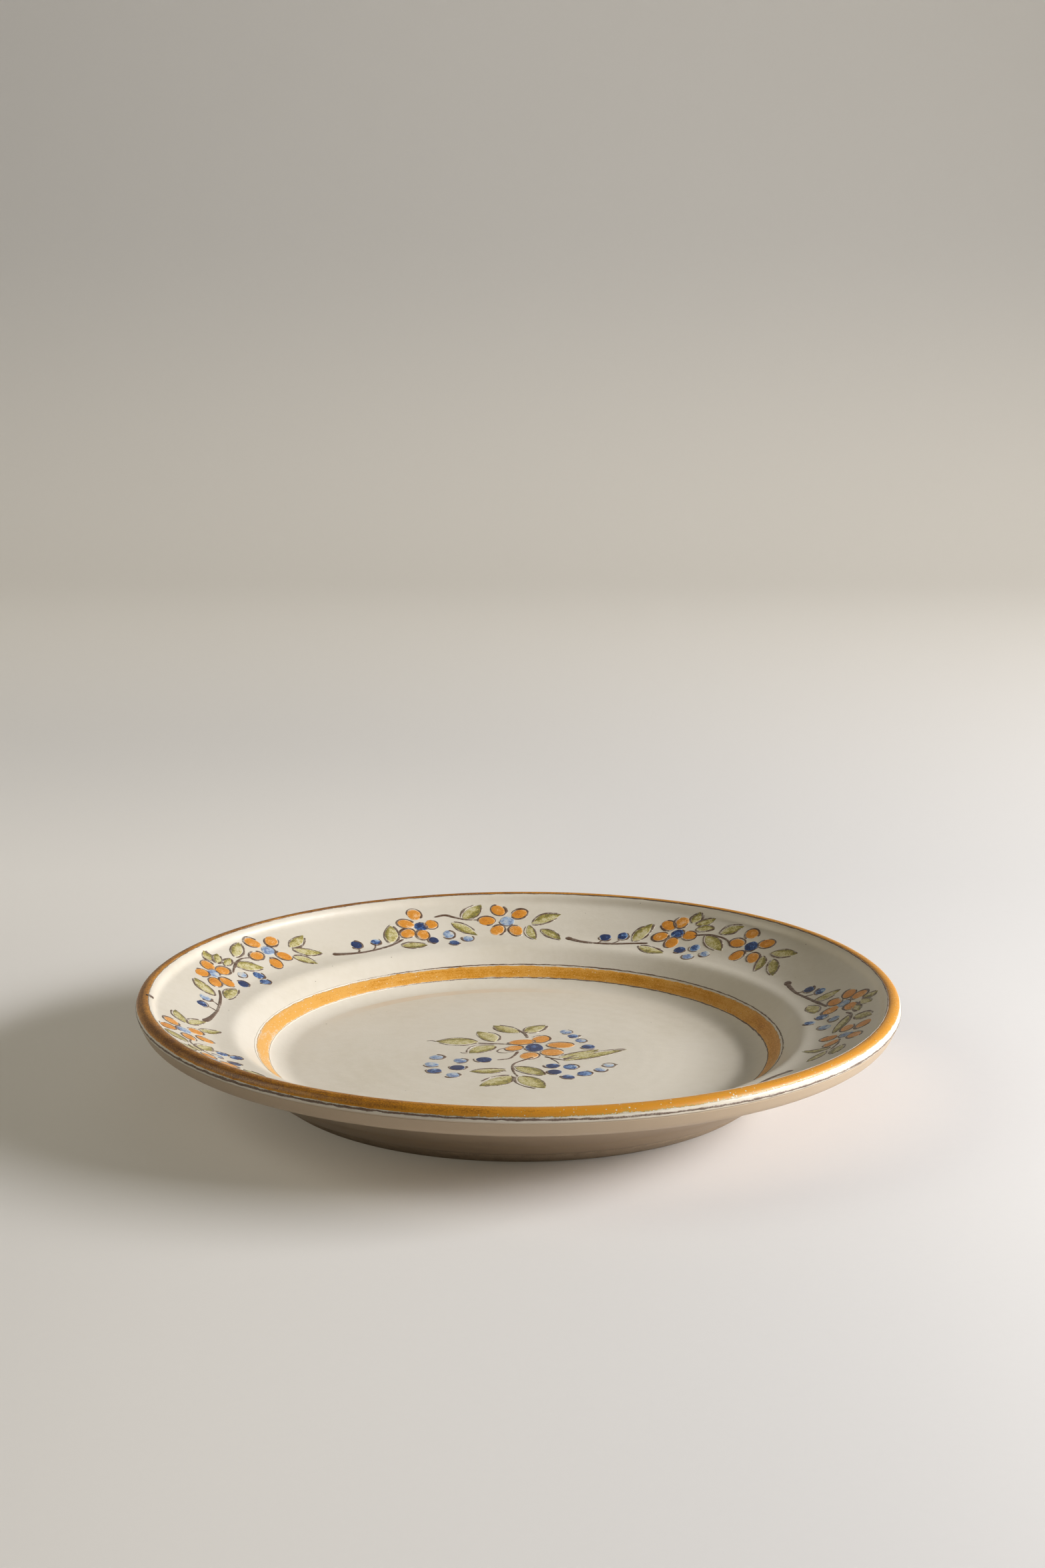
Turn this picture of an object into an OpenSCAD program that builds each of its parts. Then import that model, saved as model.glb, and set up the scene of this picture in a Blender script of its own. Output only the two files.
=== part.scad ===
// Thrown and hand painted ceramic dinner plate.
// One clay body with its glaze coats, painted bands and brushed flower sprays,
// each coat or colour a solid of its own. Millimetres, +Z up, origin on the
// table under the centre of the plate.

/* [Plate] */
// Overall diameter, over the lip
plate_d = 270; // [262:1:284]
// Overall height, from the table to the top of the lip
plate_h = 35.6; // [33:0.1:40]
// Width of the flange, from the lip's outermost point in to the shoulder
flange_w = 34; // [32:0.5:37]
// Height of the shoulder above the table
shoulder_h = 21; // [19:0.5:22]
// Roundness of the shoulder
shoulder_bend_r = 9; // [4:1:12]
// How far outside the shoulder the flange turns up more steeply
flange_bend_out = 8; // [7:0.5:10]
// Height of that turn above the table
flange_bend_h = 22.6; // [22.3:0.1:23.6]
// Roundness of that turn
flange_bend_r = 25; // [10:5:30]
// Width of the well's wall in plan, from the shoulder in to the edge of the floor
wall_w = 15; // [13:0.5:18]
// Height of the well's floor above the table
floor_h = 9; // [8:0.5:10.5]
// Roundness where the floor turns up into the wall
floor_bend_r = 14; // [6:1:18]

/* [Rim] */
// Radius of the rounded lip
lip_r = 3.2; // [2.6:0.1:3.6]
// How far the lip stands up from the flange
lip_rise = 1.8; // [1:0.1:2.2]
// Fillet between the flange and the lip
lip_fillet_r = 2.5; // [1:0.5:4]
// Depth of the rim's outer face, from the top of the lip to its lower edge
rim_depth = 9.6; // [8.8:0.1:11]
// How far the rim's lower edge is tucked in under the lip
rim_tuck = 1.6; // [0.8:0.1:2.4]
// Radius of the rim's lower edge
rim_under_r = 3; // [2:0.1:3.4]

/* [Underside] */
// How far outside the shoulder the flange's underside turns down into the outer wall
haunch_out = 9; // [7:0.5:12]
// Height of that turn above the table
haunch_h = 17.8; // [17:0.1:18.6]
// Roundness of that turn
haunch_bend_r = 6; // [2:1:8]
// How far inside the shoulder the turned crease between outer wall and foot lies
crease_in = 4; // [2.5:0.5:5.5]
// Height of the crease above the table
crease_h = 8.6; // [8:0.1:9.4]
// Height of the small step that the turning tool leaves at the crease
crease_step_h = 0.95; // [0.4:0.05:1.4]
// Width of that step
crease_step_w = 0.55; // [0.3:0.05:0.8]
// How far the foot's side swells out between the crease and the table
foot_belly = 0.4; // [0.2:0.1:0.8]
// Roundness of that swell
foot_belly_r = 3.6; // [2:0.2:5]

/* [Foot] */
// How far the foot ring's outer edge stands outside the edge of the well's floor
foot_out = 0.5; // [0:0.5:3]
// Width of the foot ring's bare resting face
foot_w = 7; // [5:0.5:9]
// Rounding of the foot ring's edges
foot_edge_r = 1.2; // [0.6:0.1:1.8]
// Depth of the recess inside the foot ring
recess_h = 3.4; // [2.4:0.2:4.2]
// Slope of the recess's side, its run as a share of its rise
recess_share = 0.7; // [0.3:0.1:1.2]

/* [Glaze and paint] */
// Thickness of the glaze coats
glaze_t = 0.4; // [0.25:0.05:0.6]
// How far the painted bands and strokes stand above the glaze
paint_t = 0.15; // [0.1:0.05:0.3]

/* [Bands] */
// Distance of the rim band's inner edge in from the lip's outermost point
rim_band_in = 4.4; // [4:0.1:5]
// Width of the rim band, measured over the round of the lip
rim_band_w = 5.1; // [4:0.1:5.4]
// Cream gap between the rim band and the line round the lip's outer side
rim_line_gap = 0.65; // [0.3:0.05:0.9]
// Width of the line round the lip's outer side
rim_line_w = 0.75; // [0.4:0.05:0.9]
// Width of the fine line along the rim band's inner edge
rim_fine_w = 0.5; // [0.3:0.1:0.8]
// Distance of the well band's inner edge in from the shoulder
well_band_in = 12; // [10:0.5:13]
// Width of the well band up the wall
well_band_w = 5.6; // [4:0.1:6]
// Cream gap between the well band and the line outside it
well_line_gap = 0.7; // [0.3:0.1:1.2]
// Width of the line outside the well band
well_line_w = 0.6; // [0.4:0.1:0.9]
// Width of the fine line along the well band's inner edge
well_fine_w = 0.4; // [0.3:0.1:0.6]

/* [Sprays] */
// Degrees that a spray takes round the plate, from its stem's foot to its last leaf
spray_angle = 49.8; // [44:0.2:50.4]
// Bare glaze left between a spray and each edge of the flange
spray_margin = 0.2; // [0.1:0.1:1.5]
// Diameter of the berries, as a share of a spray's length
berry_share = 0.052; // [0.04:0.002:0.056]
// Diameter of the flowers' hearts, as a share of a spray's length
heart_share = 0.054; // [0.044:0.002:0.06]
// Length of a petal, as a share of a spray's length
petal_length_share = 0.06; // [0.046:0.002:0.062]
// Width of a petal, as a share of a spray's length
petal_width_share = 0.05; // [0.04:0.002:0.052]
// Cream ring between a flower's heart and its petals, as a share of a spray's length
petal_gap_share = 0.003; // [0.002:0.001:0.006]
// Width of the brushed stems, as a share of a spray's length
stem_share = 0.013; // [0.008:0.001:0.016]

/* [Bouquet] */
// Width of the bouquet in the well, over its longest leaves
bouquet_w = 66; // [54:1:80]

/* [Hidden] */
// Straight pieces in a painted round, and degrees of turn for each straight
// piece of a rounded profile
$fn = 48;
arc_angle = 8;
// Shallow cut that keeps cutting solids clear of the faces they cut
cut = 1;

plate_r = plate_d / 2;
shoulder_r = plate_r - flange_w;
floor_r = shoulder_r - wall_w;
foot_r = floor_r + foot_out;

// ---- Plane geometry ----

function unit(v) = v / norm(v);
function angle_of(v) = atan2(v[1], v[0]);
function polar(r, a) = r * [cos(a), sin(a)];
function mix(a, b, t) = a + (b - a) * t;
function flip(path) = [for (i = [len(path) - 1:-1:0]) path[i]];
function short_turn(a) = a > 180 ? a - 360 : a < -180 ? a + 360 : a;

// Points along an arc about c, from angle a0 to angle a1
function arc(c, r, a0, a1) =
    let (n = max(2, ceil(abs(a1 - a0) / arc_angle)))
    [for (i = [0:n]) c + polar(r, mix(a0, a1, i / n))];

// The corner a-b-c with a round of radius r in place of b
function rounded(a, b, c, r) =
    let (
        u = unit(a - b),
        v = unit(c - b),
        half = acos(u * v) / 2,
        centre = b + unit(u + v) * r / sin(half),
        from = angle_of(b + u * r / tan(half) - centre),
        to = angle_of(b + v * r / tan(half) - centre)
    )
    arc(centre, r, from, from + short_turn(to - from));

// ---- Profile of the glazed plate: [radius, height], from the middle of the
// ---- well out over the lip and back under to the middle of the recess

shoulder = [shoulder_r, shoulder_h];
flange_bend = [shoulder_r + flange_bend_out, flange_bend_h];
lip_c = [plate_r - lip_r, plate_h - lip_r];
rim_under_c = [plate_r - rim_tuck - rim_under_r, plate_h - rim_depth + rim_under_r];
haunch = [shoulder_r + haunch_out, haunch_h];
crease = [shoulder_r - crease_in, crease_h];
crease_top = crease + [crease_step_w, crease_step_h];
foot_corner = [foot_r, 0];
foot_inner = [foot_r - foot_w, 0];
recess_corner = foot_inner + [-recess_share, 1] * recess_h;

// The foot's side swells most at this share of the way down it
swell_share = 0.4;
foot_fall = unit(foot_corner - crease);
foot_swell = mix(crease, foot_corner, swell_share) + foot_belly * [-foot_fall[1], foot_fall[0]];

// The flange is hollow: it leaves the shoulder nearly level, then rises more
// steeply in a straight line that passes under the top of the lip
lip_sink = lip_r - lip_rise;
flange_a = angle_of(lip_c - flange_bend) + asin(lip_sink / norm(lip_c - flange_bend));
flange_foot = lip_c + polar(lip_sink, flange_a + 90);
fillet_back = sqrt(pow(lip_r + lip_fillet_r, 2) - pow(lip_fillet_r + lip_sink, 2));
fillet_c = flange_foot - polar(fillet_back, flange_a) + polar(lip_fillet_r, flange_a + 90);
flange_end = fillet_c - polar(lip_fillet_r, flange_a + 90);
shoulder_round = rounded([floor_r, floor_h], shoulder, flange_bend, shoulder_bend_r);
flange_start = shoulder_round[len(shoulder_round) - 1];

// The rim's outer face is the common tangent of the lip and its lower edge
rim_fall = rim_under_c - lip_c;
rim_face_a = angle_of(rim_fall) + acos((lip_r - rim_under_r) / norm(rim_fall));

// The flange's underside runs from the haunch to the rim's lower edge
under_gap = rim_under_c - haunch;
under_a = angle_of(under_gap) - asin(rim_under_r / norm(under_gap));
under_end = rim_under_c + polar(rim_under_r, under_a - 90);

face_path = concat(
    [[0, floor_h]],
    rounded([0, floor_h], [floor_r, floor_h], shoulder, floor_bend_r),
    shoulder_round,
    rounded(shoulder, flange_bend, flange_end, flange_bend_r),
    arc(fillet_c, lip_fillet_r, flange_a - 90, angle_of(lip_c - fillet_c)),
    arc(lip_c, lip_r, angle_of(fillet_c - lip_c), rim_face_a)
);
back_path = concat(
    arc(rim_under_c, rim_under_r, rim_face_a, under_a - 90),
    rounded(under_end, haunch, crease_top, haunch_bend_r),
    [crease_top, crease],
    rounded(crease, foot_swell, foot_corner, foot_belly_r),
    [rounded(foot_swell, foot_corner, foot_inner, foot_edge_r)[0]]
);
rest_path = concat(
    rounded(foot_swell, foot_corner, foot_inner, foot_edge_r),
    rounded(foot_corner, foot_inner, recess_corner, foot_edge_r)
);
base_path = concat(
    rounded(foot_inner, recess_corner, [0, recess_h], foot_edge_r),
    [[0, recess_h]]
);

// Neighbouring stretches share their end points, so doubled points are dropped
function joined(path) =
    [for (i = [0:len(path) - 1]) if (i == 0 || norm(path[i] - path[i - 1]) > 0.001) path[i]];
skin = joined(concat(face_path, back_path, rest_path, base_path));

// Places along the skin are counted in points, with a share of a piece added
function place_of(p) = [for (i = [0:len(skin) - 1]) if (norm(skin[i] - p) < 0.002) i][0];
flange_from = place_of(flange_start);
flange_to = place_of(flange_end);
rim_place = place_of(face_path[len(face_path) - 1]);
foot_place = place_of(rest_path[0]);
recess_place = place_of(rest_path[len(rest_path) - 1]);
last_place = len(skin) - 1;

// The path moved out of the solid by d, square to itself
function normal_at(path, i) =
    let (
        t0 = unit(path[max(i, 1)] - path[max(i, 1) - 1]),
        t1 = unit(path[min(i + 1, len(path) - 1)] - path[min(i + 1, len(path) - 1) - 1]),
        n0 = [-t0[1], t0[0]],
        n = unit(n0 + [-t1[1], t1[0]])
    )
    n / (n * n0);
function moved(path, d) = [for (i = [0:len(path) - 1]) path[i] + d * normal_at(path, i)];

clay_skin = moved(skin, -glaze_t);
paint_skin = moved(skin, paint_t);

// The stretch of a path between two places
function point_at(path, t) =
    let (i = min(floor(t), len(path) - 2)) mix(path[i], path[i + 1], t - i);
function stretch(path, t0, t1) = concat(
    [point_at(path, t0)],
    [for (i = [floor(t0) + 1:ceil(t1) - 1]) path[i]],
    [point_at(path, t1)]
);

// The place on the face at radius r, and the place a distance d further on
function place_at_r(r, i = 1) =
    skin[i][0] >= r ? i - 1 + (r - skin[i - 1][0]) / (skin[i][0] - skin[i - 1][0]) : place_at_r(r, i + 1);
function place_after(t, d) =
    let (
        next = floor(t) + 1,
        piece = norm(skin[next] - skin[next - 1]),
        rest = (next - t) * piece
    )
    d <= rest ? t + d / piece : place_after(next, d - rest);

// ---- Ways of making the coats ----

// A coat between two profiles that run side by side
module coat(outer, inner) {
    rotate_extrude() polygon(concat(outer, flip(inner)));
}

// A painted band of width w whose inner edge is at place t
module band(t, w) {
    end = place_after(t, w);
    coat(stretch(paint_skin, t, end), stretch(skin, t, end));
}

// Strokes drawn in plan, laid as a thin coat on the flange
module on_flange() {
    intersection() {
        coat(stretch(paint_skin, flange_from, flange_to), stretch(skin, flange_from, flange_to));
        translate([0, 0, shoulder_h - cut]) linear_extrude(plate_h - shoulder_h) children();
    }
}

// Strokes drawn in plan, laid as a thin coat on the floor of the well
module on_floor() {
    translate([0, 0, floor_h]) linear_extrude(paint_t) children();
}

// ---- Brush strokes, in plan ----

// A pointed leaf from p to q, as wide as w, between two equal arcs
module leaf(p, q, w) {
    half = norm(q - p) / 2;
    bow = (half * half + w * w / 4) / w;
    translate((p + q) / 2) rotate(angle_of(q - p)) intersection_for (side = [-1, 1])
        translate([0, side * (bow - w / 2)]) circle(bow);
}

// A petal pressed out of the brush: round at its far end, narrower at the heart
module petal(w, length) {
    corners = 15;
    fullness = 0.92;
    lean = 0.16;
    polygon([
        for (i = [0:corners - 1])
            let (a = i * 360 / corners)
            [length * (1 - cos(a)) / 2, w / 2 * sin(a) * (fullness - lean * cos(a))]
    ]);
}

// Petals round a heart, one at each of the angles
module flower(angles, size = 1) {
    for (a = angles) rotate(a) translate([(heart / 2 + petal_gap) * size, 0])
        petal(petal_width * size, petal_length * size);
}

// Point t of the smooth curve through the controls a, b, c
function bend_at(c, t) = mix(mix(c[0], c[1], t), mix(c[1], c[2], t), t);

// A stem along a bent line, thinning from w to half of w
module stem(controls, w) {
    steps = 8;
    line = [for (i = [0:steps]) bend_at(controls, i / steps)];
    side = [for (i = [0:steps]) normal_at(line, i) * w / 2 * mix(1, 0.5, i / steps)];
    polygon(concat(line - side, flip(line + side)));
}

// ---- One spray of the flange, in drawing units ----
// x runs along the spray from the foot of its stem, y outwards from the middle
// of the flange

// Each spray's place, as the angle of its stem's foot, then its size and whether
// it has the three small leaves over its first flower. The last one painted is
// smaller, to close the ring.
SPRAYS = [
    [184, 1, true], [131, 1, false], [80, 1, true], [24, 1, true],
    [327, 1, true], [275, 0.76, false], [235.5, 1, true]
];
spray_drawn = [100, 26.4];
spray_r = (flange_start[0] + flange_end[0]) / 2;
spray_slope = angle_of(flange_end - flange_start);
spray_w = norm(flange_end - flange_start) - 2 * spray_margin;
spray_len = spray_r * spray_angle * PI / 180;
spray_unit = min(spray_len / spray_drawn[0], spray_w / spray_drawn[1]);
twig_share = 0.7;
berry = berry_share * spray_drawn[0];
heart = heart_share * spray_drawn[0];
petal_length = petal_length_share * spray_drawn[0];
petal_width = petal_width_share * spray_drawn[0];
petal_gap = petal_gap_share * spray_drawn[0];
stem_width = stem_share * spray_drawn[0];
flowers = [[43, 2.5], [78, 3]];
petals_at = [[90, 150, 205, 270, 345], [55, 115, 175, 235, 305]];
dark_berries = [[12.5, -3.8], [48, -8.2]];
pale_berries = [[21.3, -3.8], [53.8, -3.8], [55, -10.3], [61.5, -7.4]];
stems = [
    [[0, -6.7], [14, -12.5], [34.5, -3.4]], [[52, 4.6], [60, 6.6], [68.2, 3.2]],
    [[84, 2.4], [87, 1.8], [89.4, 0.4]]
];
twigs = [[[10.4, -9], [11.4, -8], [11.9, -7]], [[18, -8.5], [19.4, -8], [20.4, -7]]];
leaves = [
    [[27.5, -5.2], [31.5, 6], 5], [[30.8, -7.8], [42.5, -9.8], 4.4],
    [[57.6, 3], [65.8, -4.4], 4.8], [[60.6, 6.8], [68, 14], 5.2],
    [[90.2, 1], [99, 7], 4.6], [[88, -2], [89, -9.5], 3.6], [[91, -2], [100, -8.5], 3.8]
];
small_leaves = [
    [[47.6, 10], [47.6, 17.2], 3.6], [[50, 10], [56, 15.6], 3.4], [[50.4, 7.6], [57, 9.2], 3]
];

// Millimetres in a drawing unit of a spray
function unit_mm(spray) = spray[1] * spray_unit;

// The plan point of point p of a spray
function flange_point(p, spray) = polar(
    spray_r + p[1] * unit_mm(spray) * cos(spray_slope),
    spray[0] - p[0] * spray[1] * spray_angle / spray_drawn[0]
);

// Dabs of the brush at points of every spray
module dabs(places, d) {
    for (spray = SPRAYS, p = places)
        translate(flange_point(p, spray)) circle(d = d * unit_mm(spray));
}

// ---- The body and its coats ----

module clay_body() {
    color("tan") rotate_extrude() polygon(concat(
        stretch(clay_skin, 0, foot_place),
        stretch(skin, foot_place, recess_place),
        stretch(clay_skin, recess_place, last_place)
    ));
}

module face_glaze() {
    color("antiquewhite") coat(stretch(skin, 0, rim_place), stretch(clay_skin, 0, rim_place));
}

module back_glaze() {
    color("antiquewhite")
        coat(stretch(skin, rim_place, foot_place), stretch(clay_skin, rim_place, foot_place));
}

module base_glaze() {
    color("antiquewhite")
        coat(stretch(skin, recess_place, last_place), stretch(clay_skin, recess_place, last_place));
}

// ---- The bands ----

rim_band_place = place_at_r(plate_r - rim_band_in);
rim_line_place = place_after(rim_band_place, rim_band_w + rim_line_gap);
rim_fine_place = place_at_r(plate_r - rim_band_in - rim_fine_w);
well_band_r = shoulder_r - well_band_in;
well_band_place = place_at_r(well_band_r);
well_line_place = place_after(well_band_place, well_band_w + well_line_gap);
well_fine_place = place_at_r(well_band_r - well_fine_w);

module rim_band() {
    color("goldenrod") band(rim_band_place, rim_band_w);
}

module rim_line() {
    color("saddlebrown") band(rim_line_place, rim_line_w);
}

module rim_fine_line() {
    color("saddlebrown") {
        end = rim_band_place;
        coat(stretch(paint_skin, rim_fine_place, end), stretch(skin, rim_fine_place, end));
    }
}

module well_band() {
    color("goldenrod") band(well_band_place, well_band_w);
}

module well_line() {
    color("saddlebrown") band(well_line_place, well_line_w);
}

module well_fine_line() {
    color("saddlebrown") {
        end = well_band_place;
        coat(stretch(paint_skin, well_fine_place, end), stretch(skin, well_fine_place, end));
    }
}

// ---- The sprays, one module for each colour ----

module spray_stems() {
    color("saddlebrown") on_flange() for (spray = SPRAYS) {
        w = stem_width * unit_mm(spray);
        translate(flange_point(stems[0][0], spray)) circle(w);
        for (c = stems) stem([for (p = c) flange_point(p, spray)], w);
        for (c = twigs) stem([for (p = c) flange_point(p, spray)], w * twig_share);
    }
}

module spray_leaves() {
    color("olive") on_flange() for (spray = SPRAYS, l = concat(leaves, spray[2] ? small_leaves : []))
        leaf(flange_point(l[0], spray), flange_point(l[1], spray), l[2] * unit_mm(spray));
}

module spray_petals() {
    color("darkorange") on_flange() for (spray = SPRAYS, i = [0, 1]) {
        spot = flange_point(flowers[i], spray);
        translate(spot) rotate(angle_of(spot) - 90) flower(petals_at[i], unit_mm(spray));
    }
}

module spray_hearts() {
    color("steelblue") on_flange() dabs(flowers, heart);
}

module spray_dark_berries() {
    color("midnightblue") on_flange() dabs(dark_berries, berry);
}

module spray_pale_berries() {
    color("lightsteelblue") on_flange() dabs(pale_berries, berry);
}

// ---- The bouquet in the well, in drawing units from the middle of the plate ----

bouquet_drawn = [66, 73];
bouquet_flower_c = [5.5, 7];
bouquet_flower_share = 1.3;
bouquet_petals_at = [20, 72, 118, 185, 258, 315];
bouquet_leaves_at = [
    [[-0.5, 25.6], [-9.5, 34], 6], [[3, 25.2], [10, 33], 6],
    [[-14, 13], [-32, 14], 8.4], [[-10, 13.5], [-15, 27], 6.6], [[-9, 10], [-19, 0], 7],
    [[12, -5], [28.5, 5.5], 4.4], [[15.5, -8.6], [38, 4.5], 5],
    [[-4, -20], [-18, -20], 5], [[-0.7, -15.4], [9.8, -24.4], 6],
    [[-2, -24.5], [-14, -36], 7.6], [[-0.5, -26], [9, -39], 8]
];
bouquet_stems_at = [
    [[2.5, 18.6], [3.2, 21.5], [1.4, 24.4]], [[-3.6, 10.8], [-8, 11.2], [-13, 11.6]],
    [[-1.8, 1], [-2, -6], [-7, -7.5]], [[2.2, -6.2], [-4.4, -11.6], [-1.4, -22.8]],
    [[9.8, -3.4], [10.6, -6], [13.8, -8]]
];
bouquet_berries_at = [
    [-29, -5], [-21, -8.5], [-13, -7.5], [-31, -13], [-21.5, -16], [-30, -20], [-23, -25],
    [17, 26], [20, 20.5], [22.5, 15], [25, 8.6],
    [12, -14], [18.5, -15], [13, -21], [17, -26.5], [23, -23], [29, -18.5], [32, -13]
];

module on_bouquet() {
    on_floor() scale(bouquet_w / bouquet_drawn[0]) children();
}

module bouquet_stems() {
    color("saddlebrown") on_bouquet() for (c = bouquet_stems_at) stem(c, stem_width);
}

module bouquet_leaves() {
    color("olive") on_bouquet() for (l = bouquet_leaves_at) leaf(l[0], l[1], l[2]);
}

module bouquet_petals() {
    color("darkorange") on_bouquet()
        translate(bouquet_flower_c) flower(bouquet_petals_at, bouquet_flower_share);
}

module bouquet_heart() {
    color("steelblue") on_bouquet()
        translate(bouquet_flower_c) circle(d = bouquet_flower_share * heart);
}

module bouquet_berries() {
    color("midnightblue") on_bouquet()
        for (p = bouquet_berries_at) translate(p) circle(d = berry);
}

clay_body();
face_glaze();
back_glaze();
base_glaze();
rim_band();
rim_line();
rim_fine_line();
well_band();
well_line();
well_fine_line();
spray_stems();
spray_leaves();
spray_petals();
spray_hearts();
spray_dark_berries();
spray_pale_berries();
bouquet_stems();
bouquet_leaves();
bouquet_petals();
bouquet_heart();
bouquet_berries();
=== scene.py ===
"""Thrown and hand painted faience plate: its looks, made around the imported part."""

from functools import partial
from math import cos, pi, radians, sin

import bpy
import numpy as np
from bpy.props import FloatProperty, FloatVectorProperty, PointerProperty
from mathutils import Matrix, Vector


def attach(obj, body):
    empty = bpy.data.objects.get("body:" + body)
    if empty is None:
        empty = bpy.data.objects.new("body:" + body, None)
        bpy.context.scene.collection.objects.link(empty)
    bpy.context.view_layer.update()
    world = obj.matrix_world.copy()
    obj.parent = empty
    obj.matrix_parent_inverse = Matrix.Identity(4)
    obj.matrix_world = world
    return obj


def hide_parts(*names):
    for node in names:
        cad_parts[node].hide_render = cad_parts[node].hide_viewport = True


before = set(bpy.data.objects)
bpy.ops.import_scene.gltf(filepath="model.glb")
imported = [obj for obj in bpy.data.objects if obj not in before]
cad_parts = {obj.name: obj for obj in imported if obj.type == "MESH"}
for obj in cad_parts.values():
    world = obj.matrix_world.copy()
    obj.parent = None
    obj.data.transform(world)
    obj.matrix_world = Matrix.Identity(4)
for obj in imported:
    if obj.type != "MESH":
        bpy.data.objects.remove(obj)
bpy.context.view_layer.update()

bl_info = {
    "name": "Hand painted plate",
    "version": (1, 0, 0),
    "blender": (4, 5, 0),
    "location": "3D View > Sidebar > Plate",
    "description": "Glazes, paints and lights a thrown faience plate",
    "category": "Object",
}

MM = 0.001
# Corners closer together than this are one
SAME = 0.03 * MM
# How far the painted strokes and bands reach down into the glaze
PAINT_ROOT = 0.25 * MM
# Radius of the middle of each turned face, which a fan of triangles closes
CAP_R = 0.4 * MM
# How far beside the foot ring's resting face the glaze stops and the clay rises to its level
BARE = 0.3 * MM


# ---- Colours ----

def linear(code):
    """An sRGB hex colour as linear red, green, blue and alpha."""
    parts = [int(code[i:i + 2], 16) / 255 for i in (0, 2, 4)]
    return tuple(p / 12.92 if p <= 0.04045 else ((p + 0.055) / 1.055) ** 2.4 for p in parts) + (1.0,)


def colour_prop(name, description, code):
    return FloatVectorProperty(name=name, description=description, default=linear(code),
                               size=4, min=0, max=1, subtype="COLOR")


def length_prop(name, description, mm):
    return FloatProperty(name=name, description=description, default=mm * MM, unit="LENGTH")


class PlateSizes(bpy.types.PropertyGroup):
    """Sizes that the maker's hand gives the plate."""

    glaze_t: length_prop("Glaze", "Thickness of the glaze coats", 0.4)
    paint_t: length_prop("Paint", "Height of the painted strokes over the glaze", 0.13)
    warp_h: length_prop("Warp", "How far the rim dips and rises after the firing", 0.46)
    ring_h: length_prop("Throwing rings", "Height of the fingers' soft rings", 0.012)
    ring_pitch: length_prop("Ring spacing", "Spacing of the throwing rings", 6.2)
    spray_r: length_prop("Spray radius", "Radius of the ring that the sprays are set out on", 115.04)


class PlateColours(bpy.types.PropertyGroup):
    """Colours of the fired glaze, paints and clay."""

    biscuit: colour_prop("Biscuit", "Bare fired clay of the foot ring", "B5A188")
    cream: colour_prop("Cream glaze", "Tin glaze over buff clay", "DED5C5")
    # The back glaze is darker than the cream partly from its thinner coat and partly as painted shade under
    # the plate
    back: colour_prop("Back glaze", "The thinner coat under the plate, warmed by the clay", "BFA98E")
    ochre: colour_prop("Ochre", "Bands of iron and antimony yellow", "CE8B24")
    amber: colour_prop("Amber", "The same ochre where it lies thin", "E0A650")
    # On the lip, the umber mostly stands for painted shade on the side away from the lamp
    umber: colour_prop("Umber", "Ochre that pooled and browned on the lip", "7A4914")
    fringe: colour_prop("Fringe", "Yellow edge where the lip's ochre thins", "A98F38")
    brown: colour_prop("Brown", "Manganese lines and outlines", "5E4331")
    olive: colour_prop("Olive", "Copper and ochre leaves", "A29340")
    straw: colour_prop("Straw", "The same wash where it lies thin", "CFC48F")
    moss: colour_prop("Moss", "The same wash where it pooled", "696018")
    orange: colour_prop("Orange", "Iron orange petals", "DC902E")
    apricot: colour_prop("Apricot", "The same orange where it lies thin", "F0B673")
    rust: colour_prop("Rust", "The same orange where it pooled", "B7641F")
    pale_blue: colour_prop("Pale blue", "Thin cobalt wash", "94B2D2")
    blue: colour_prop("Blue", "Cobalt of one brush load", "4C6EA6")
    dark_blue: colour_prop("Dark blue", "Full cobalt", "24345F")


class StageSettings(bpy.types.PropertyGroup):
    """Floor, light and camera."""

    floor: colour_prop("Floor", "Plain pale sweep under the plate", "E7E4E2")
    key_power: FloatProperty(name="Key light", description="Power of the wide lamp at the side",
                             default=42.5, min=0, unit="POWER")
    key_az: FloatProperty(name="Key direction", description="Where the wide lamp stands round the plate",
                          default=radians(-5), subtype="ANGLE")
    key_el: FloatProperty(name="Key height", description="How high the wide lamp stands",
                          default=radians(24), subtype="ANGLE")
    fill: FloatProperty(name="Fill", description="Strength of the three soft panels round the plate",
                        default=1.0, min=0)
    sky: FloatProperty(name="Sky", description="Strength of the faint light from all round",
                       default=0.02, min=0)
    glow: FloatProperty(name="Sheet light", description="How brightly the sweep's shaded parts are seen",
                        default=1.0, min=0)
    lens: FloatProperty(name="Lens", description="Focal length on a frame 36 mm high",
                        default=57.55, min=1)


# ---- The skin of the plate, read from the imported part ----

def ring_corners(node):
    """Radius and height of each turned corner of a CAD node."""
    co = np.array([v.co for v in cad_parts[node].data.vertices])
    rz = np.unique(np.round(np.c_[np.hypot(co[:, 0], co[:, 1]), co[:, 2]], 5), axis=0)
    kept = [rz[0]]
    for p in rz[1:]:
        if min(np.hypot(*(np.array(kept) - p).T)) > SAME:
            kept.append(p)
    return np.array(kept)


def apart(points, others):
    """The points that none of the others touches."""
    gap = np.hypot(points[:, None, 0] - others[None, :, 0], points[:, None, 1] - others[None, :, 1])
    return points[gap.min(1) > 0.05 * MM]


def clockwise(points, about):
    """The points in the order in which a hand turning clockwise about a place meets them."""
    return points[np.argsort(-np.arctan2(points[:, 1] - about[1], points[:, 0] - about[0]))]


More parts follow.
